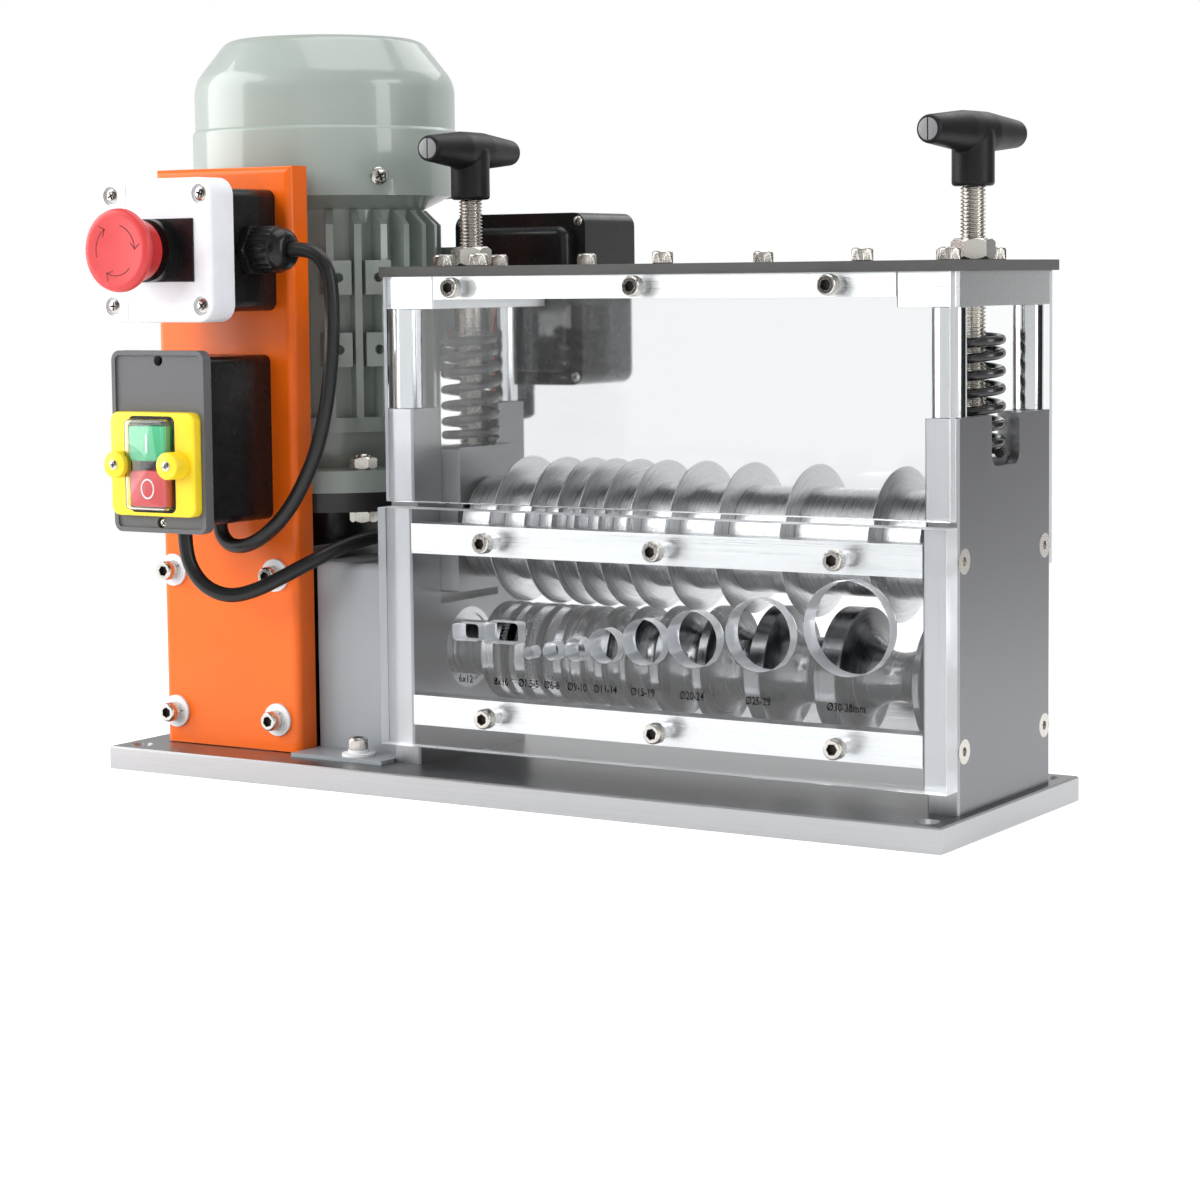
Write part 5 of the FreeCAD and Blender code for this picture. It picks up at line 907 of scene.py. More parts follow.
def thread(centre, bottom, top):
    """A threaded rod along Z between two heights, in millimetres."""
    turns = int((top - bottom) / THREAD_PITCH) - 1
    ridge = dot_at((THREAD_ROOT * MM, 0, 0))
    rise = THREAD_PITCH / 8
    depth = THREAD_CREST - THREAD_ROOT
    for outward_step, up_step in ((0, rise), (depth, 3 * rise), (0, rise), (-depth, 3 * rise)):
        step = (outward_step * MM, 0, up_step * MM)
        bpy.ops.mesh.extrude_region_move(TRANSFORM_OT_translate={"value": step})
    modify(ridge, "SCREW", axis="Z", screw_offset=THREAD_PITCH * MM, iterations=turns, steps=THREAD_STEPS,
           render_steps=THREAD_STEPS, use_merge_vertices=True)
    foot = (centre[0], centre[1], bottom)
    outward(moved(ridge, foot, Matrix()), fill=True)
    height = top - bottom
    side = THREAD_ROOT - 0.02
    end = THREAD_ROOT - 0.6
    outline = [(0, 0), (0, end), (0.8, side), (height - 0.8, side), (height, end), (height, 0)]
    core = lathe(outline, foot, Z, 32)
    return join([ridge, core])


def adjusting_screw(side):
    low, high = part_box(side + "_screw")
    centre = (low + high) / 2 / MM
    rod = thread(centre, low.z / MM, high.z / MM)
    dress(rod, side + "_threaded_rod", side + "_adjuster", "zinc_screw", 25, [side + "_screw"])


for side in ("left", "right"):
    adjusting_screw(side)
print("springs and screws made")

# %% [markdown]
# The feed roller is one turned piece: half-round grooves for round cables on a land that grows towards the
# right, and two channels for flat cables. Each channel has toothed rims with a slot for the disc between
# them. The rims are spun with twice as many steps as teeth, and every other line is drawn in.

# %% Feed roller
TEETH = 80
TOOTH_DEPTH = 1.5
FLAT_CHANNELS = ((-24.0, 6.5), (-3.0, 8.5))
ROUND_CHANNELS = ((13.0, 3.0), (26.0, 4.5), (40.0, 5.5), (56.0, 7.5), (78.0, 10.0), (105.0, 12.5),
                  (140.5, 15.0), (186.5, 20.0))
SLOT_HALF = 2.55
SLOT_FLOOR = 15.0
CHANNEL_FLOOR = 20.0
RIM_BORE = 14.0
LAND = 25.0
LAND_RISE = 6.5
LAND_RISE_FROM = 20.0
LAND_RISE_LENGTH = 120.0
BODY_X = (-38.0, 209.8)
SHAFT_X = (-106.0, 233.2)
SHOULDER_X = (-60.8, 221.0)
JOURNAL = 10.0
SHOULDER = 14.0
CORNER = 0.4
SHAFT_CORNER = 0.6
SEAM_STEP = 0.01


def land_radius(x):
    share = min(1.0, max(0.0, (x - LAND_RISE_FROM) / LAND_RISE_LENGTH))
    return LAND + share * LAND_RISE


def draw_in(piece, test, share, axis_place):
    """Pulls the points that a test chooses towards a turned piece's axis, by a share on each axis."""
    alone(piece, "EDIT")
    pick(piece, "VERT", test)
    bpy.ops.transform.resize(value=share, center_override=axis_place)
    bpy.ops.object.mode_set(mode="OBJECT")


def line_number(co, centre, axis, count):
    """Which of the lathe's lines a point is on."""
    offset = co - centre
    if axis == X:
        angle = math.atan2(offset.y, offset.z)
    else:
        angle = math.atan2(offset.y, offset.x)
    return round(angle / math.tau * count) % count


def toothed_rim(start, end):
    centre = Vector((0, UNIT_Y, FEED_Z)) * MM
    rim = lathe([(start, RIM_BORE), (start, LAND), (end, LAND), (end, RIM_BORE)], (0, UNIT_Y, FEED_Z), X,
                2 * TEETH)
    share = (LAND - TOOTH_DEPTH) / LAND

    def in_a_gap(vert):
        on_top = (vert.co - centre).yz.length > (LAND - 1) * MM
        return on_top and line_number(vert.co, centre, X, 2 * TEETH) % 2
    draw_in(rim, in_a_gap, (1, share, share), centre)
    return rim


def feed_roller():
    left, right = BODY_X
    shaft_left, shaft_right = SHAFT_X
    shoulder_left, shoulder_right = SHOULDER_X
    thin = JOURNAL - SHAFT_CORNER
    profile = [(shaft_left, 0), (shaft_left, thin), (shaft_left + SHAFT_CORNER, JOURNAL),
               (shoulder_left, JOURNAL), (shoulder_left, SHOULDER), (left, SHOULDER), (left, LAND - CORNER),
               (left + CORNER, LAND)]
    rims = []
    for x, half in FLAT_CHANNELS:
        profile += [(x - half, LAND), (x - half, CHANNEL_FLOOR), (x - SLOT_HALF, CHANNEL_FLOOR),
                    (x - SLOT_HALF, SLOT_FLOOR), (x + SLOT_HALF, SLOT_FLOOR), (x + SLOT_HALF, CHANNEL_FLOOR),
                    (x + half, CHANNEL_FLOOR), (x + half, LAND)]
        rims += [toothed_rim(x - half, x - SLOT_HALF), toothed_rim(x + SLOT_HALF, x + half)]
    level = LAND
    for x, half in ROUND_CHANNELS:
        before = level
        level = land_radius(x - half)
        if abs(level - before) > 0.01:
            profile += [(profile[-1][0] + SEAM_STEP, level)]
        profile += arc(x, level, half, 180, 360, 14)
    level = land_radius(right)
    profile += [(profile[-1][0] + SEAM_STEP, level), (right - CORNER, level), (right, level - CORNER),
                (right, SHOULDER), (shoulder_right, SHOULDER), (shoulder_right, JOURNAL),
                (shaft_right - SHAFT_CORNER, JOURNAL), (shaft_right, thin), (shaft_right, 0)]
    roller = lathe(profile, (0, UNIT_Y, FEED_Z), X, 128)
    dress(join([roller] + rims), "grooved_feed_roller", "feed_roller", "roller_steel", 30, ["feed_roller"])


feed_roller()
print("feed roller made, teeth", 4 * TEETH)

# %% [markdown]
# Screws and nuts repeat all over the machine, so each kind is modelled once and copied. A socket head is
# turned, its grip lines are drawn in, and a hexagon is cut into its top. Nuts are hexagon bars whose
# corners are turned away, which is what catches the light on a real nut.

# %% Screws, nuts and washers
CAP_RADIUS = 5.0
CAP_HEIGHT = 6.0
GRIP_LINES = 96
SOCKET_FLATS = 5.0
SOCKET_FLOOR = 3.0
ORIGIN = Vector((0, 0, 0))


def overlap_of(piece, other):
    """What two pieces have in common."""
    return cut(piece, [other], "INTERSECT")


def hexagon(flats, start, end, chamfer):
    """A hexagon bar along +Z with its corners turned away at both ends."""
    alone()
    radius = flats / math.sqrt(3)
    middle = (start + end) / 2 * MM
    bpy.ops.mesh.primitive_cylinder_add(vertices=6, radius=radius * MM, depth=(end - start) * MM,
                                        location=(0, 0, middle))
    bar = bpy.context.object
    bake_place(bar)
    if not chamfer:
        return bar
    face = flats / 2 * 0.96
    turned = lathe([(start, 0), (start, face), (start + chamfer, radius + 0.2), (end - chamfer, radius + 0.2),
                    (end, face), (end, 0)], ORIGIN, Z, 60)
    return overlap_of(bar, turned)


def cap_screw(grip):
    """A socket-head screw on the Z axis, its head standing on zero."""
    head = lathe([(0, 0), (0, 4.7), (0.35, CAP_RADIUS), (4.7, CAP_RADIUS), (5.2, 4.85), (5.65, 4.6),
                  (CAP_HEIGHT, 4.1), (CAP_HEIGHT, 0)], ORIGIN, Z, GRIP_LINES)

    def in_a_grip_line(vert):
        on_side = 0.1 * MM < vert.co.z < 5.0 * MM and vert.co.xy.length > 4 * MM
        return on_side and line_number(vert.co, ORIGIN, Z, GRIP_LINES) % 2

    def in_socket(face):
        level = SOCKET_FLOOR - 0.1
        return (face.center.xy.length < 2.9 * MM
                and level * MM < face.center.z < (CAP_HEIGHT - 0.05) * MM)
    draw_in(head, in_a_grip_line, (0.965, 0.965, 1), ORIGIN)
    cut(head, [hexagon(SOCKET_FLATS, SOCKET_FLOOR, CAP_HEIGHT + 0.5, 0)])
    # The socket's inside faces get painted shade.
    second_finish(head, (finishes["zinc_screw"], painted_socket_shade), in_socket)
    profile = [(-grip, 0), (-grip, 2.3)]
    for step in range(int(grip)):
        profile += [(-grip + step + 0.35, 2.9), (-grip + step + 0.85, 2.4)]
    profile += [(-0.05, 2.9), (-0.05, 0)]
    return join([head, lathe(profile, ORIGIN, Z, 24)])


def cross_screw(radius, rise):
    """A low pan head with a cross recess, on the Z axis."""
    head = lathe([(-rise, 0), (-rise, radius * 0.5), (0, radius * 0.55), (0, radius),
                  (rise * 0.4, radius * 0.97), (rise * 0.75, radius * 0.82), (rise * 0.95, radius * 0.5),
                  (rise, 0)], ORIGIN, Z, 48)
    half = radius * 0.55
    thin = radius * 0.11
    floor = rise * 0.25
    for x, y in ((half, thin), (thin, half)):
        cut(head, [block((-x, -y, floor), (x, y, rise + 0.5))])

    def in_cross(face):
        on_floor = face.center.z < (floor + 0.01) * MM < face.center.z + 0.1 * MM
        return face.center.xy.length < half * MM and (on_floor or abs(face.normal.z) < 0.1)
    # The cross recess gets painted shade.
    second_finish(head, (finishes["zinc_screw"], painted_socket_shade), in_cross)
    return head


def spread_out(master, places, spin=0.4):
    """Copies of a piece modelled on the Z axis, each turned to its direction at its place."""
    copies = []
    for i, (place, direction) in enumerate(places):
        copies.append(placed(copy_of(master), place, direction, spin * i))
    bpy.data.objects.remove(master)
    return copies


GUIDE_SCREW_X = (-11.0, 86.0, 182.0)
GUARD_SCREW_X = (-32.0, 72.6, 176.5)
FRONT_ROW_X = (-25.5, 80.4, 186.3)
REAR_ROW_X = (-19.0, 85.5, 186.0)
SCREW_X = (-60.5, 220.7)
TOP_Z = 263.0
LOWER_BAR_Z = 40.9
MIDDLE_BAR_Z = 127.5
TOP_BAR_Z = 252.35
GUIDE_FRONT = -61.0
GUARD_FRONT = -55.0
REAR_BACK = 57.0

panel_places = [((x, GUIDE_FRONT, z), -Y) for x in GUIDE_SCREW_X for z in (LOWER_BAR_Z, MIDDLE_BAR_Z)]
panel_screws = spread_out(cap_screw(16), panel_places)
guard_screws = spread_out(cap_screw(6), [((x, GUARD_FRONT, TOP_BAR_Z), -Y) for x in GUARD_SCREW_X])
rear_screws = spread_out(cap_screw(4), [((x, REAR_BACK, MIDDLE_BAR_Z), Y) for x in GUARD_SCREW_X])
dress(join(panel_screws + guard_screws + rear_screws), "panel_cap_screws", "machine_frame", "zinc_screw", 30,
      ["clear_panel_screws"])
top_places = [((x, -43, TOP_Z), Z) for x in FRONT_ROW_X] + [((x, 47, TOP_Z), Z) for x in REAR_ROW_X]
top_places += [((x, UNIT_Y + side * 25, TOP_Z), Z) for x in SCREW_X for side in (-1, 1)]
dress(join(spread_out(cap_screw(10), top_places)), "top_cap_screws", "machine_frame", "zinc_screw", 30,
      ["top_plate_screws"])


def washered_screw():
    screw = placed(cap_screw(10), (0, 0, 3.4), Z)
    washer = lathe(tube_profile(0, 1.6, 3.2, 8.5, 0.15), ORIGIN, Z, 64)
    split_ring = lathe(tube_profile(1.65, 3.35, 3.1, 5.3), ORIGIN, Z, 48, math.radians(350))
    return join([screw, washer, split_ring])


SIDE_PANEL_FACE = -50.8
SIDE_PANEL_SCREWS = [(x, z) for x in (-218, -150) for z in (29, 104.5)]
COVER_FEET = ((-99, -50), (-99, 54))
COVER_FOOT_TOP = 14
washered_places = [((x, SIDE_PANEL_FACE, z), -Y) for x, z in SIDE_PANEL_SCREWS]
washered_places += [((x, y, COVER_FOOT_TOP), Z) for x, y in COVER_FEET]
dress(join(spread_out(washered_screw(), washered_places)), "screws_on_washers", "machine_frame",
      "zinc_screw", 30, ["washered_screws"])


def lock_nut():
    nut = hexagon(18.0, 0, 10.0, 2.0)
    return cut(nut, [lathe(rod_profile(-1, 11, 6.05), ORIGIN, Z, 48)])


nuts = spread_out(lock_nut(), [((x, UNIT_Y, TOP_Z), Z) for x in SCREW_X], 0.0)
dress(join(nuts), "chamfered_lock_nuts", "machine_frame", "zinc_screw", 25, ["lock_nuts"])


def flange_bolt():
    head = hexagon(13.0, -6.5, 0, 1.3)
    nut = hexagon(13.0, 21.7, 28.2, 1.3)
    stud = lathe([(0, 0), (0, 3.9), (29.0, 3.9), (29.7, 3.3), (29.7, 0)], ORIGIN, Z, 32)
    return join([head, nut, stud])


MOTOR_X = -183.0
MOTOR_Y = 42.0
BOLT_CIRCLE = 65.0
FLANGE_TOP = 135.3
bolt_places = []
for i in range(4):
    angle = math.radians(-38 + 90 * i)
    bolt_places.append(((MOTOR_X + BOLT_CIRCLE * math.cos(angle), MOTOR_Y + BOLT_CIRCLE * math.sin(angle),
                         FLANGE_TOP), Z))
dress(join(spread_out(flange_bolt(), bolt_places)), "hex_flange_bolts", "machine_frame", "zinc_screw", 25,
      ["flange_bolts"])
print("screws and nuts made")

# %% [markdown]
# The clear panels are sawn and drilled acrylic. Each is a block with its holes cut out and its sharp
# edges broken by a small bevel, because those bright rims are what shows that there is a panel at all.
# Their backs stand a hair off the steel, so that two faces never share one plane. The small black sizes
# under the openings are text turned into mesh.

# %% Clear panels and size labels
BACK_GAP = 0.1
GUIDE_CUT = (-63, -47)
GUARD_CUT = (-57, -47)
REAR_CUT = (51, 59)
SCREW_HOLE = 6.2
OPENING_LEVEL = 71.3
OPENING_RISE = 0.56
EDGE_BREAK = 0.35
LABEL_Z = 58.0
LABEL_SIZE = 5.3
LABEL_NARROW = 0.80
ROUND_OPENINGS = ((13, 6.0), (26, 9.0), (40, 11.3), (56, 16.4), (78, 22.0), (105, 27.0), (140.5, 34.0),
                  (186.5, 44.0))
FLAT_OPENINGS = ((-24.0, 15.5, 8.5, 82.8), (-3.0, 20.0, 10.5, 83.5))
SIZE_LABELS = ((-24.0, "6x12"), (-3.0, "8x16"), (13.0, "Ø1.5-5"), (26.5, "Ø6-8"), (41.0, "Ø9-10"),
               (57.0, "Ø11-14"), (78.0, "Ø15-19"), (105.0, "Ø20-24"), (140.5, "Ø25-29"),
               (186.5, "Ø30-38mm"))


def drill(x, z, diameter, y0, y1, steps=96):
    return lathe(rod_profile(y0, y1, diameter / 2), (x, 0, z), Y, steps)


def clear_panel(node_name, name, cutters, back_is_low=False):
    low, high = (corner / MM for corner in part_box(node_name))
    if back_is_low:
        low.y += BACK_GAP
    else:
        high.y -= BACK_GAP
    panel = cut(block(low, high), cutters)
    modify(panel, "BEVEL", width=EDGE_BREAK * MM, segments=1, limit_method="ANGLE",
           angle_limit=math.radians(50))
    dress(panel, name, "machine_frame", "clear_acrylic", 20, [node_name])
    second_finish(panel, (finishes["clear_acrylic"], cut_acrylic), lambda face: abs(face.normal.y) < 0.4)


guide_cutters = [drill(x, OPENING_LEVEL + OPENING_RISE * diameter, diameter, *GUIDE_CUT)
                 for x, diameter in ROUND_OPENINGS]
for x, width, height, z in FLAT_OPENINGS:
    front, back = GUIDE_CUT
    guide_cutters.append(block((x - width / 2, front, z - height / 2), (x + width / 2, back, z + height / 2),
                               2, Y))
guide_cutters += [drill(x, z, SCREW_HOLE, *GUIDE_CUT, 48) for x in GUIDE_SCREW_X
                  for z in (LOWER_BAR_Z, MIDDLE_BAR_Z)]
guard_cutters = [drill(x, TOP_BAR_Z, SCREW_HOLE, *GUARD_CUT, 48) for x in GUARD_SCREW_X]
rear_cutters = [drill(x, MIDDLE_BAR_Z, SCREW_HOLE, *REAR_CUT, 48) for x in GUARD_SCREW_X]
clear_panel("guide_panel", "drilled_guide_panel", guide_cutters)
clear_panel("upper_front_guard", "clear_upper_guard", guard_cutters)
clear_panel("rear_guard", "clear_rear_guard", rear_cutters, True)


def size_label(x, words):
    alone()
    place = Vector((x, GUIDE_FRONT, LABEL_Z)) * MM
    bpy.ops.object.text_add(location=place, rotation=(math.pi / 2, 0, 0))
    label = bpy.context.object
    label.data.body = words
    label.data.size = LABEL_SIZE * MM
    label.data.align_x = "CENTER"
    label.data.offset = 0.05 * MM
    label.data.extrude = 0.02 * MM
    label.data.resolution_u = 3
    bpy.ops.object.convert(target="MESH")
    label = bpy.context.object
    label.scale.x = LABEL_NARROW
    bake_place(label)
    return label


dress(join([size_label(*label) for label in SIZE_LABELS]), "opening_size_labels", "machine_frame",
      "black_plastic", paint=print_ink)
print("clear panels made, labels", len(SIZE_LABELS))

# %% [markdown]
# The motor's cowl is a spun steel cap: its profile is turned, its shoulder and rim are bevelled round,
# and the air slots are cut through its top. Four cross-head screws hold its skirt.

# %% Motor cowl
COWL_BOTTOM = 301.0
COWL_SLOTS = 20
COWL_SHEET = 1.6
SKIRT_RADIUS = 71.8
SKIRT_TOP = 35.0
CAP_SIDE = 70.4
SHOULDER_Z = 62.0
CROWN_Z = 85.0
CROWN_RADIUS = 52.5
COWL_SCREW_Z = 311.0
COWL_SCREW_REACH = 71.7


def cowl():
    foot = (MOTOR_X, MOTOR_Y, COWL_BOTTOM)
    outside = [(0, SKIRT_RADIUS), (SKIRT_TOP, SKIRT_RADIUS), (SKIRT_TOP + 1.5, CAP_SIDE),
               (SHOULDER_Z, CAP_SIDE), (CROWN_Z, CROWN_RADIUS), (CROWN_Z, 0)]
    under = CROWN_Z - COWL_SHEET
    inside = [(under, 0), (under, CROWN_RADIUS - 0.8), (SHOULDER_Z, CAP_SIDE - COWL_SHEET),
              (SKIRT_TOP + 0.7, CAP_SIDE - COWL_SHEET), (SKIRT_TOP + 0.7, SKIRT_RADIUS - COWL_SHEET),
              (0, SKIRT_RADIUS - COWL_SHEET), (0, SKIRT_RADIUS)]
    cap = lathe(outside + inside, foot, Z, 128)
    axis_place = Vector((MOTOR_X, MOTOR_Y, 0)) * MM

    def ring(level, radius):
        def on_ring(edge):
            ends = [vert.co for vert in edge.verts]
            return all(abs(end.z - (COWL_BOTTOM + level) * MM) < 0.01 * MM
                       and abs((end - axis_place).xy.length - radius * MM) < 0.05 * MM for end in ends)
        return on_ring
    bevel_edges(cap, 5.5, 8, ring(SHOULDER_Z, CAP_SIDE))
    bevel_edges(cap, 4.5, 8, ring(CROWN_Z, CROWN_RADIUS))
    bevel_edges(cap, 0.6, 3, ring(SKIRT_TOP, SKIRT_RADIUS))
    slots = []
    for i in range(COWL_SLOTS):
        slot = block((18, -1.5, CROWN_Z - 5), (44, 1.5, CROWN_Z + 3), 1.4, Z)
        slots.append(moved(slot, foot, Matrix.Rotation(math.tau * i / COWL_SLOTS, 4, "Z")))
    cut(cap, slots)
    dress(cap, "spun_fan_cowl", "machine_frame", "motor_paint", 35, ["fan_cowl"])


def cowl_screws():
    places = []
    for i in range(4):
        angle = math.radians(-30.5 + 90 * i)
        out = Vector((math.cos(angle), math.sin(angle), 0))
        places.append(((MOTOR_X + COWL_SCREW_REACH * out.x, MOTOR_Y + COWL_SCREW_REACH * out.y, COWL_SCREW_Z),
                       out))
    dress(join(spread_out(cross_screw(4.8, 2.0), places)), "cowl_screws", "machine_frame", "zinc_screw")


cowl()
cowl_screws()
LID_FACE = 68
lid_places = [((x, LID_FACE, z), -Y) for x in (-111.6, -37.4) for z in (204.4, 286.6)]
dress(join(spread_out(cross_screw(2.7, 1.2), lid_places)), "terminal_lid_screws", "machine_frame",
      "zinc_screw")
print("cowl made")

# %% [markdown]
# The T-handles are moulded over their hub, so bar and hub are joined by a voxel remesh and smoothed until
# the corner between them is round. A grey slotted plug closes each end of the bar.

# %% T-handles
HANDLE_TURNS = {"left": 92.0, "right": 84.0}
BAR_Z = 322.0
BAR_HALF = 39.4
PLUG_END = 39.8


def t_handle(side, x):
    half = [(-BAR_HALF, 5.4), (-39.75, 5.6), (-BAR_HALF, 6.1), (-38.2, 6.6), (-10.0, 9.45), (0.0, 9.5)]
    other_half = [(-along, radius) for along, radius in reversed(half[:-1])]
    bar = lathe([(-BAR_HALF, 0)] + half + other_half + [(BAR_HALF, 0)], ORIGIN, X, 72)
    hub = lathe([(-25, 0), (-25, 9.0), (-24, 9.95), (0, 9.95), (2, 0)], ORIGIN, Z, 72)
    body = modify(join([bar, hub]), "REMESH", mode="VOXEL", voxel_size=0.45 * MM)
    modify(body, "SMOOTH", factor=0.5, iterations=8)
    plugs = []
    for way in (-1, 1):
        outline = [(39.0, 0), (39.0, 5.1), (39.6, 5.1), (PLUG_END, 4.8), (PLUG_END, 0)]
        plug = lathe(outline, ORIGIN, X * way, 48)
        slot_x = way * 39.5
        plugs.append(cut(plug, [block((slot_x - 0.3, -0.35, -6), (slot_x + 0.6, 0.35, 6))]))
    plug = join(plugs)
    turn = Matrix.Rotation(math.radians(HANDLE_TURNS[side]), 4, "Z")
    for piece in (body, plug):
        moved(piece, (x, UNIT_Y, BAR_Z), turn)
    dress(body, side + "_moulded_handle", side + "_adjuster", "black_plastic", 60, [side + "_handle"],
          handle_black)
    dress(plug, side + "_handle_plugs", side + "_adjuster", "black_plastic", paint=plug_grey)


t_handle("left", SCREW_X[0])
t_handle("right", SCREW_X[1])
print("handles made")

# %% [markdown]
# The emergency stop's cover is a moulded box with rounded corners, recessed screws and a fine line where
# its side strip meets the lid. The mushroom is turned with a round rim, and three thin arrows on its face
# show which way it turns to release.

# %% Emergency stop
STOP_X = -175.0
STOP_Z = 272.4
COVER_HALF = 36.0
COVER_FRONT = -110.8
COVER_BACK = -93.0
COVER_WALL = 2.5
MUSHROOM_TIP = -141.0
ARROW_SWEEP = math.radians(72)
ARROW_RADIUS = 12.5
ARROW_FACES = (0.03, 0.15)


def front_edge(y):
    """A test that chooses the edges that lie in one upright plane."""
    return lambda edge: all(abs(vert.co.y - y * MM) < 0.01 * MM for vert in edge.verts)


def stop_cover():
    low = (STOP_X - COVER_HALF, COVER_FRONT, STOP_Z - COVER_HALF)
    high = (STOP_X + COVER_HALF, COVER_BACK, STOP_Z + COVER_HALF)
    cover = block(low, high, 9.0, Y, 10)
    bevel_edges(cover, 2.0, 4, front_edge(COVER_FRONT))
    inner = 31.0
    cut(cover, [block((STOP_X - inner, COVER_FRONT + COVER_WALL, STOP_Z - inner),
                      (STOP_X + inner, COVER_BACK + 1, STOP_Z + inner), 4, Y)])
    cut(cover, [drill(STOP_X, STOP_Z, 18, COVER_FRONT - 1, COVER_FRONT + 4, 64)])
    seam = STOP_X - 18.5
    cutters = [block((seam - 0.22, COVER_FRONT - 1, STOP_Z - 40),
                     (seam + 0.22, COVER_FRONT + 0.35, STOP_Z + 40))]
    places = [(STOP_X + x, STOP_Z + z) for x in (-28.8, 28.8) for z in (-27.8, 27.8)]
    cutters += [drill(x, z, 9.6, COVER_FRONT - 1, COVER_FRONT + 1.6, 48) for x, z in places]
    cut(cover, cutters)
    dress(cover, "moulded_stop_cover", "machine_frame", "white_plastic", 30, ["stop_cover"])
    screws = spread_out(cross_screw(3.9, 1.3), [((x, COVER_FRONT + 1.6, z), -Y) for x, z in places])
    dress(join(screws), "stop_cover_screws", "machine_frame", "zinc_screw")


def stop_mushroom():
    profile = [(0.12, 0), (0.12, 15.6), (0.0, 16.8)] + arc(2.8, 17.95, 2.8, 180, 90, 7)
    profile += [(3.7, 20.75), (4.4, 20.45), (6.6, 18.6), (18.0, 15.0), (18.0, 8.05), (6.0, 8.05), (6.0, 0)]
    mushroom = lathe(profile, (STOP_X, MUSHROOM_TIP, STOP_Z), Y, 96)
    dress(mushroom, "turned_stop_mushroom", "stop_button", "red_plastic", 40, ["stop_mushroom"])


def release_arrows():
    """Three clockwise arrows, each a thin flat arc with two short strokes at its end."""
    arrows = []
    back, front = ARROW_FACES
    line = tube_profile(back, front, ARROW_RADIUS - 0.3, ARROW_RADIUS + 0.3)
    tip = Matrix.Rotation(ARROW_SWEEP, 4, "Y") @ Matrix.Translation(Vector((0, 0, ARROW_RADIUS)) * MM)
    for i in range(3):
        strokes = [lathe(line, ORIGIN, Y, 24, -ARROW_SWEEP)]
        for tilt in (-0.7, 0.95):
            stroke = block((-0.3, back, -0.3), (0.3, front, 4.0))
            strokes.append(moved(stroke, ORIGIN, tip @ Matrix.Rotation(-math.pi / 2 + tilt, 4, "Y")))
        turn = Matrix.Rotation(math.radians(15 + 120 * i), 4, "Y")
        arrows.append(moved(join(strokes), (STOP_X, MUSHROOM_TIP, STOP_Z), turn))
    dress(join(arrows), "release_arrows", "stop_button", "red_plastic", paint=arrow_red)


stop_cover()
stop_mushroom()
release_arrows()
print("stop made")

# %% [markdown]
# A cord gland is a hexagon body, a ribbed nut that is turned by hand, and a smooth dome that closes on
# the cord.

# %% Cord glands
GLAND_LINES = 72
GLAND_NUT_TOP = 18.0
STOP_GLAND_PLACE = (-146, -70, 272.4)
MOTOR_GLAND_PLACE = (-95, 94, 200)


def gland(place, direction, dome_length):
    body = hexagon(24.0, 0, 5.0, 1.0)
    nut = lathe([(5.0, 0), (5.0, 11.3), (5.7, 12.0), (17.3, 12.0), (GLAND_NUT_TOP, 11.4), (GLAND_NUT_TOP, 0)],
                ORIGIN, Z, GLAND_LINES)

    def in_a_groove(vert):
        return 5.5 * MM < vert.co.z < 17.5 * MM and line_number(vert.co, ORIGIN, Z, GLAND_LINES) % 3 == 0
    draw_in(nut, in_a_groove, (0.95, 0.95, 1), ORIGIN)
    dome = [(17.5, 0), (17.5, 11.2)]
    for i in range(9):
        angle = math.radians(90 * i / 8)
        dome.append((GLAND_NUT_TOP + dome_length * math.sin(angle), 5.4 + 5.8 * math.cos(angle)))
    end = GLAND_NUT_TOP + dome_length
    dome += [(end, 4.0), (end - 1.2, 3.8), (end - 1.2, 0)]
    return placed(join([body, nut, lathe(dome, ORIGIN, Z, 64)]), place, direction)


glands = [gland(STOP_GLAND_PLACE, X, 7.0), gland(MOTOR_GLAND_PLACE, -Z, 2.0)]
dress(join(glands), "ribbed_cord_glands", "machine_frame", "black_plastic", 30, ["cord_glands"])
print("glands made")

# %% [markdown]
# The switch has a yellow bezel with an ear at each side, and a clear moulded membrane that keeps dust off
# the two keys. The keys carry the usual I and O, raised a little.

# %% Start and stop switch
SWITCH_X = -175.8
KEY_FRONT = -119.5
FACE_Y = -109.6
BEZEL_Z = 165.3
BEZEL_FRONT = -116.0
EAR_REACH = 17.1
EAR_FRONT = -125.5
START_KEY_Z = (167.2, 184.8)
STOP_KEY_Z = (144.0, 162.4)


def face_block(half_width, half_height, front, back, *rounding):
    """A block in the middle of the switch's face, with its corners rounded."""
    return block((SWITCH_X - half_width, front, BEZEL_Z - half_height),
                 (SWITCH_X + half_width, back, BEZEL_Z + half_height), *rounding)


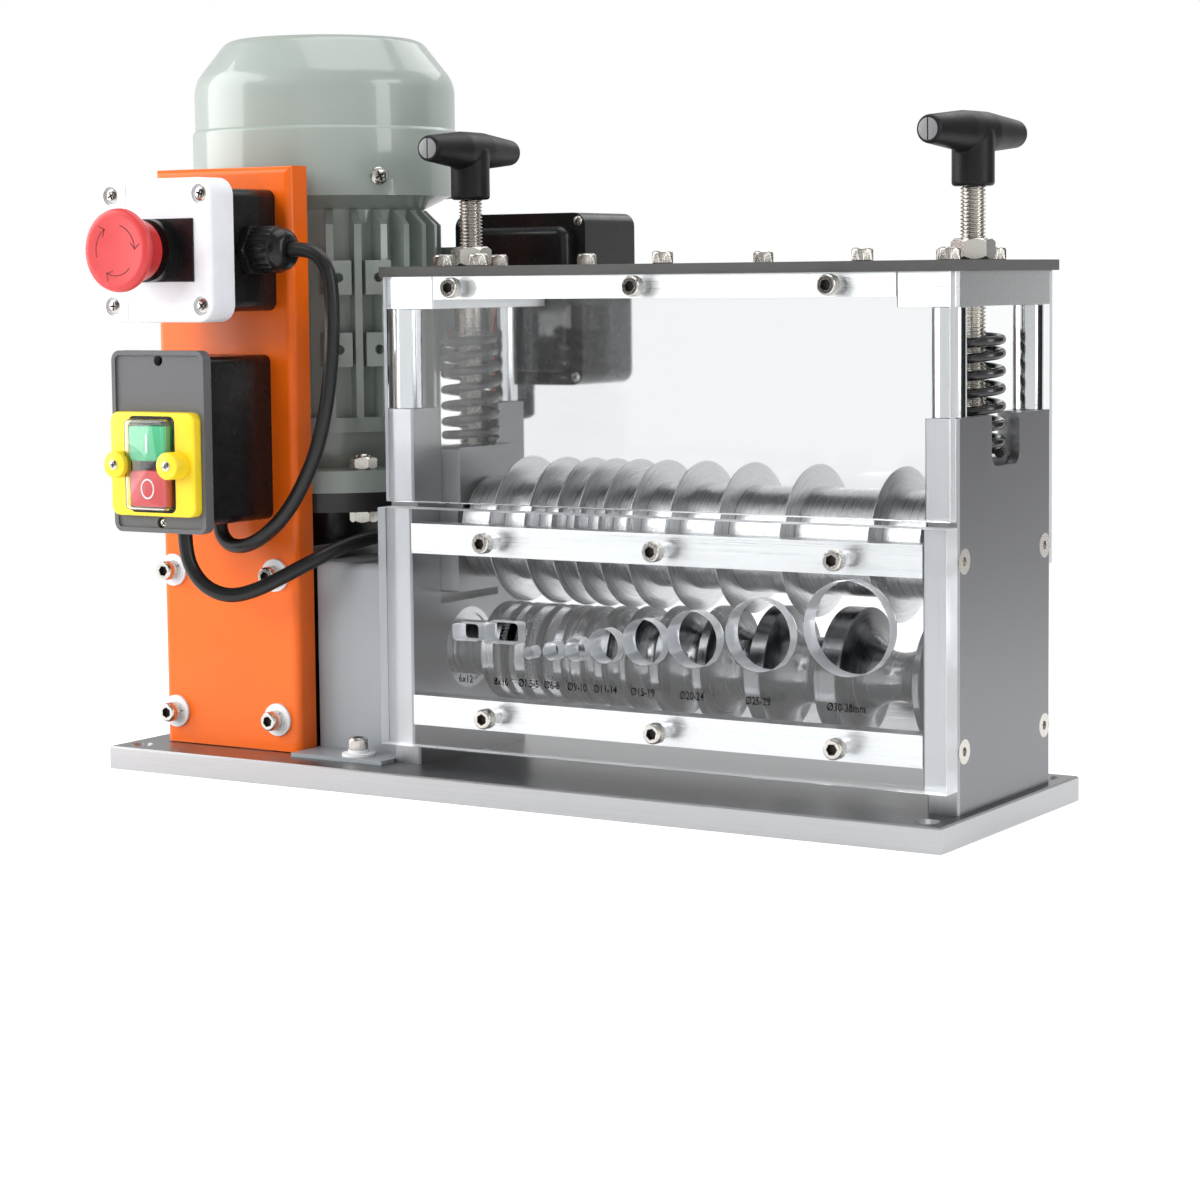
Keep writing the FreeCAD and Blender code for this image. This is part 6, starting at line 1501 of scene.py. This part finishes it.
def switch_bezel():
    bezel = face_block(27.5, 26.25, BEZEL_FRONT, FACE_Y, 5, Y, 6)
    bevel_edges(bezel, 1.2, 3, front_edge(BEZEL_FRONT))
    ear = [(EAR_FRONT, 0), (EAR_FRONT, 6.0), (-125.2, 6.6), (-124.6, 6.9), (-113, 6.9), (-113, 0)]
    ears = [lathe(ear, (SWITCH_X + way * EAR_REACH, 0, BEZEL_Z), Y, 64) for way in (-1, 1)]
    cut(bezel, ears, "UNION")
    cut(bezel, [face_block(13.8, 23.1, -122.45, -105, 3, Y)])
    dress(bezel, "yellow_switch_bezel", "machine_frame", "yellow_plastic", 30, ["switch_bezel"])
    places = [((SWITCH_X + way * EAR_REACH, EAR_FRONT, BEZEL_Z), -Y) for way in (-1, 1)]
    places.append(((SWITCH_X + 1.0, -108.4, 135.3), -Y))
    dress(join(spread_out(cross_screw(2.6, 1.0), places)), "switch_screws", "machine_frame", "zinc_screw")


def gasket_line():
    gasket = face_block(15.0, 24.3, BEZEL_FRONT - 0.15, BEZEL_FRONT + 0.8, 3.4, Y)
    cut(gasket, [face_block(13.75, 23.05, BEZEL_FRONT - 1, BEZEL_FRONT + 2, 3, Y)])
    dress(gasket, "membrane_gasket", "machine_frame", "black_plastic")


def membrane():
    wall = 0.9
    front = -122.4
    bubble = face_block(13.7, 23.0, front, FACE_Y - 0.1, 3, Y, 6)
    bevel_edges(bubble, 2.4, 5, front_edge(front))
    hollow = face_block(13.7 - wall, 23.0 - wall, front + wall, FACE_Y + 0.9, 2.2, Y, 6)
    bevel_edges(hollow, 1.6, 4, front_edge(front + wall))
    cut(bubble, [hollow])
    dress(bubble, "clear_switch_membrane", "machine_frame", "clear_membrane", 40, ["switch_membrane"])


def switch_key(name, finish, heights):
    low, high = heights
    key = block((SWITCH_X - 11.5, KEY_FRONT, low), (SWITCH_X + 11.5, KEY_FRONT + 22, high), 1.5, Y, 4)
    bevel_edges(key, 0.8, 3, front_edge(KEY_FRONT))
    dress(key, name + "_cap", name, finish, 40, [name])


def key_marks():
    ring = lathe(tube_profile(-0.2, 0.1, 3.6, 4.3), ORIGIN, Y, 48)
    moved(ring, (SWITCH_X, KEY_FRONT, sum(STOP_KEY_Z) / 2), Matrix.Diagonal((1, 1, 1.2, 1)))
    dress(ring, "stop_key_ring", "stop_key", "white_plastic")
    middle = sum(START_KEY_Z) / 2
    bar = block((SWITCH_X - 0.5, KEY_FRONT - 0.2, middle - 4.6),
                (SWITCH_X + 0.5, KEY_FRONT + 0.1, middle + 4.6))
    dress(bar, "start_key_bar", "start_key", "white_plastic")


switch_bezel()
gasket_line()
membrane()
switch_key("start_key", "green_plastic", START_KEY_Z)
switch_key("stop_key", "red_plastic", STOP_KEY_Z)
key_marks()
print("switch made")
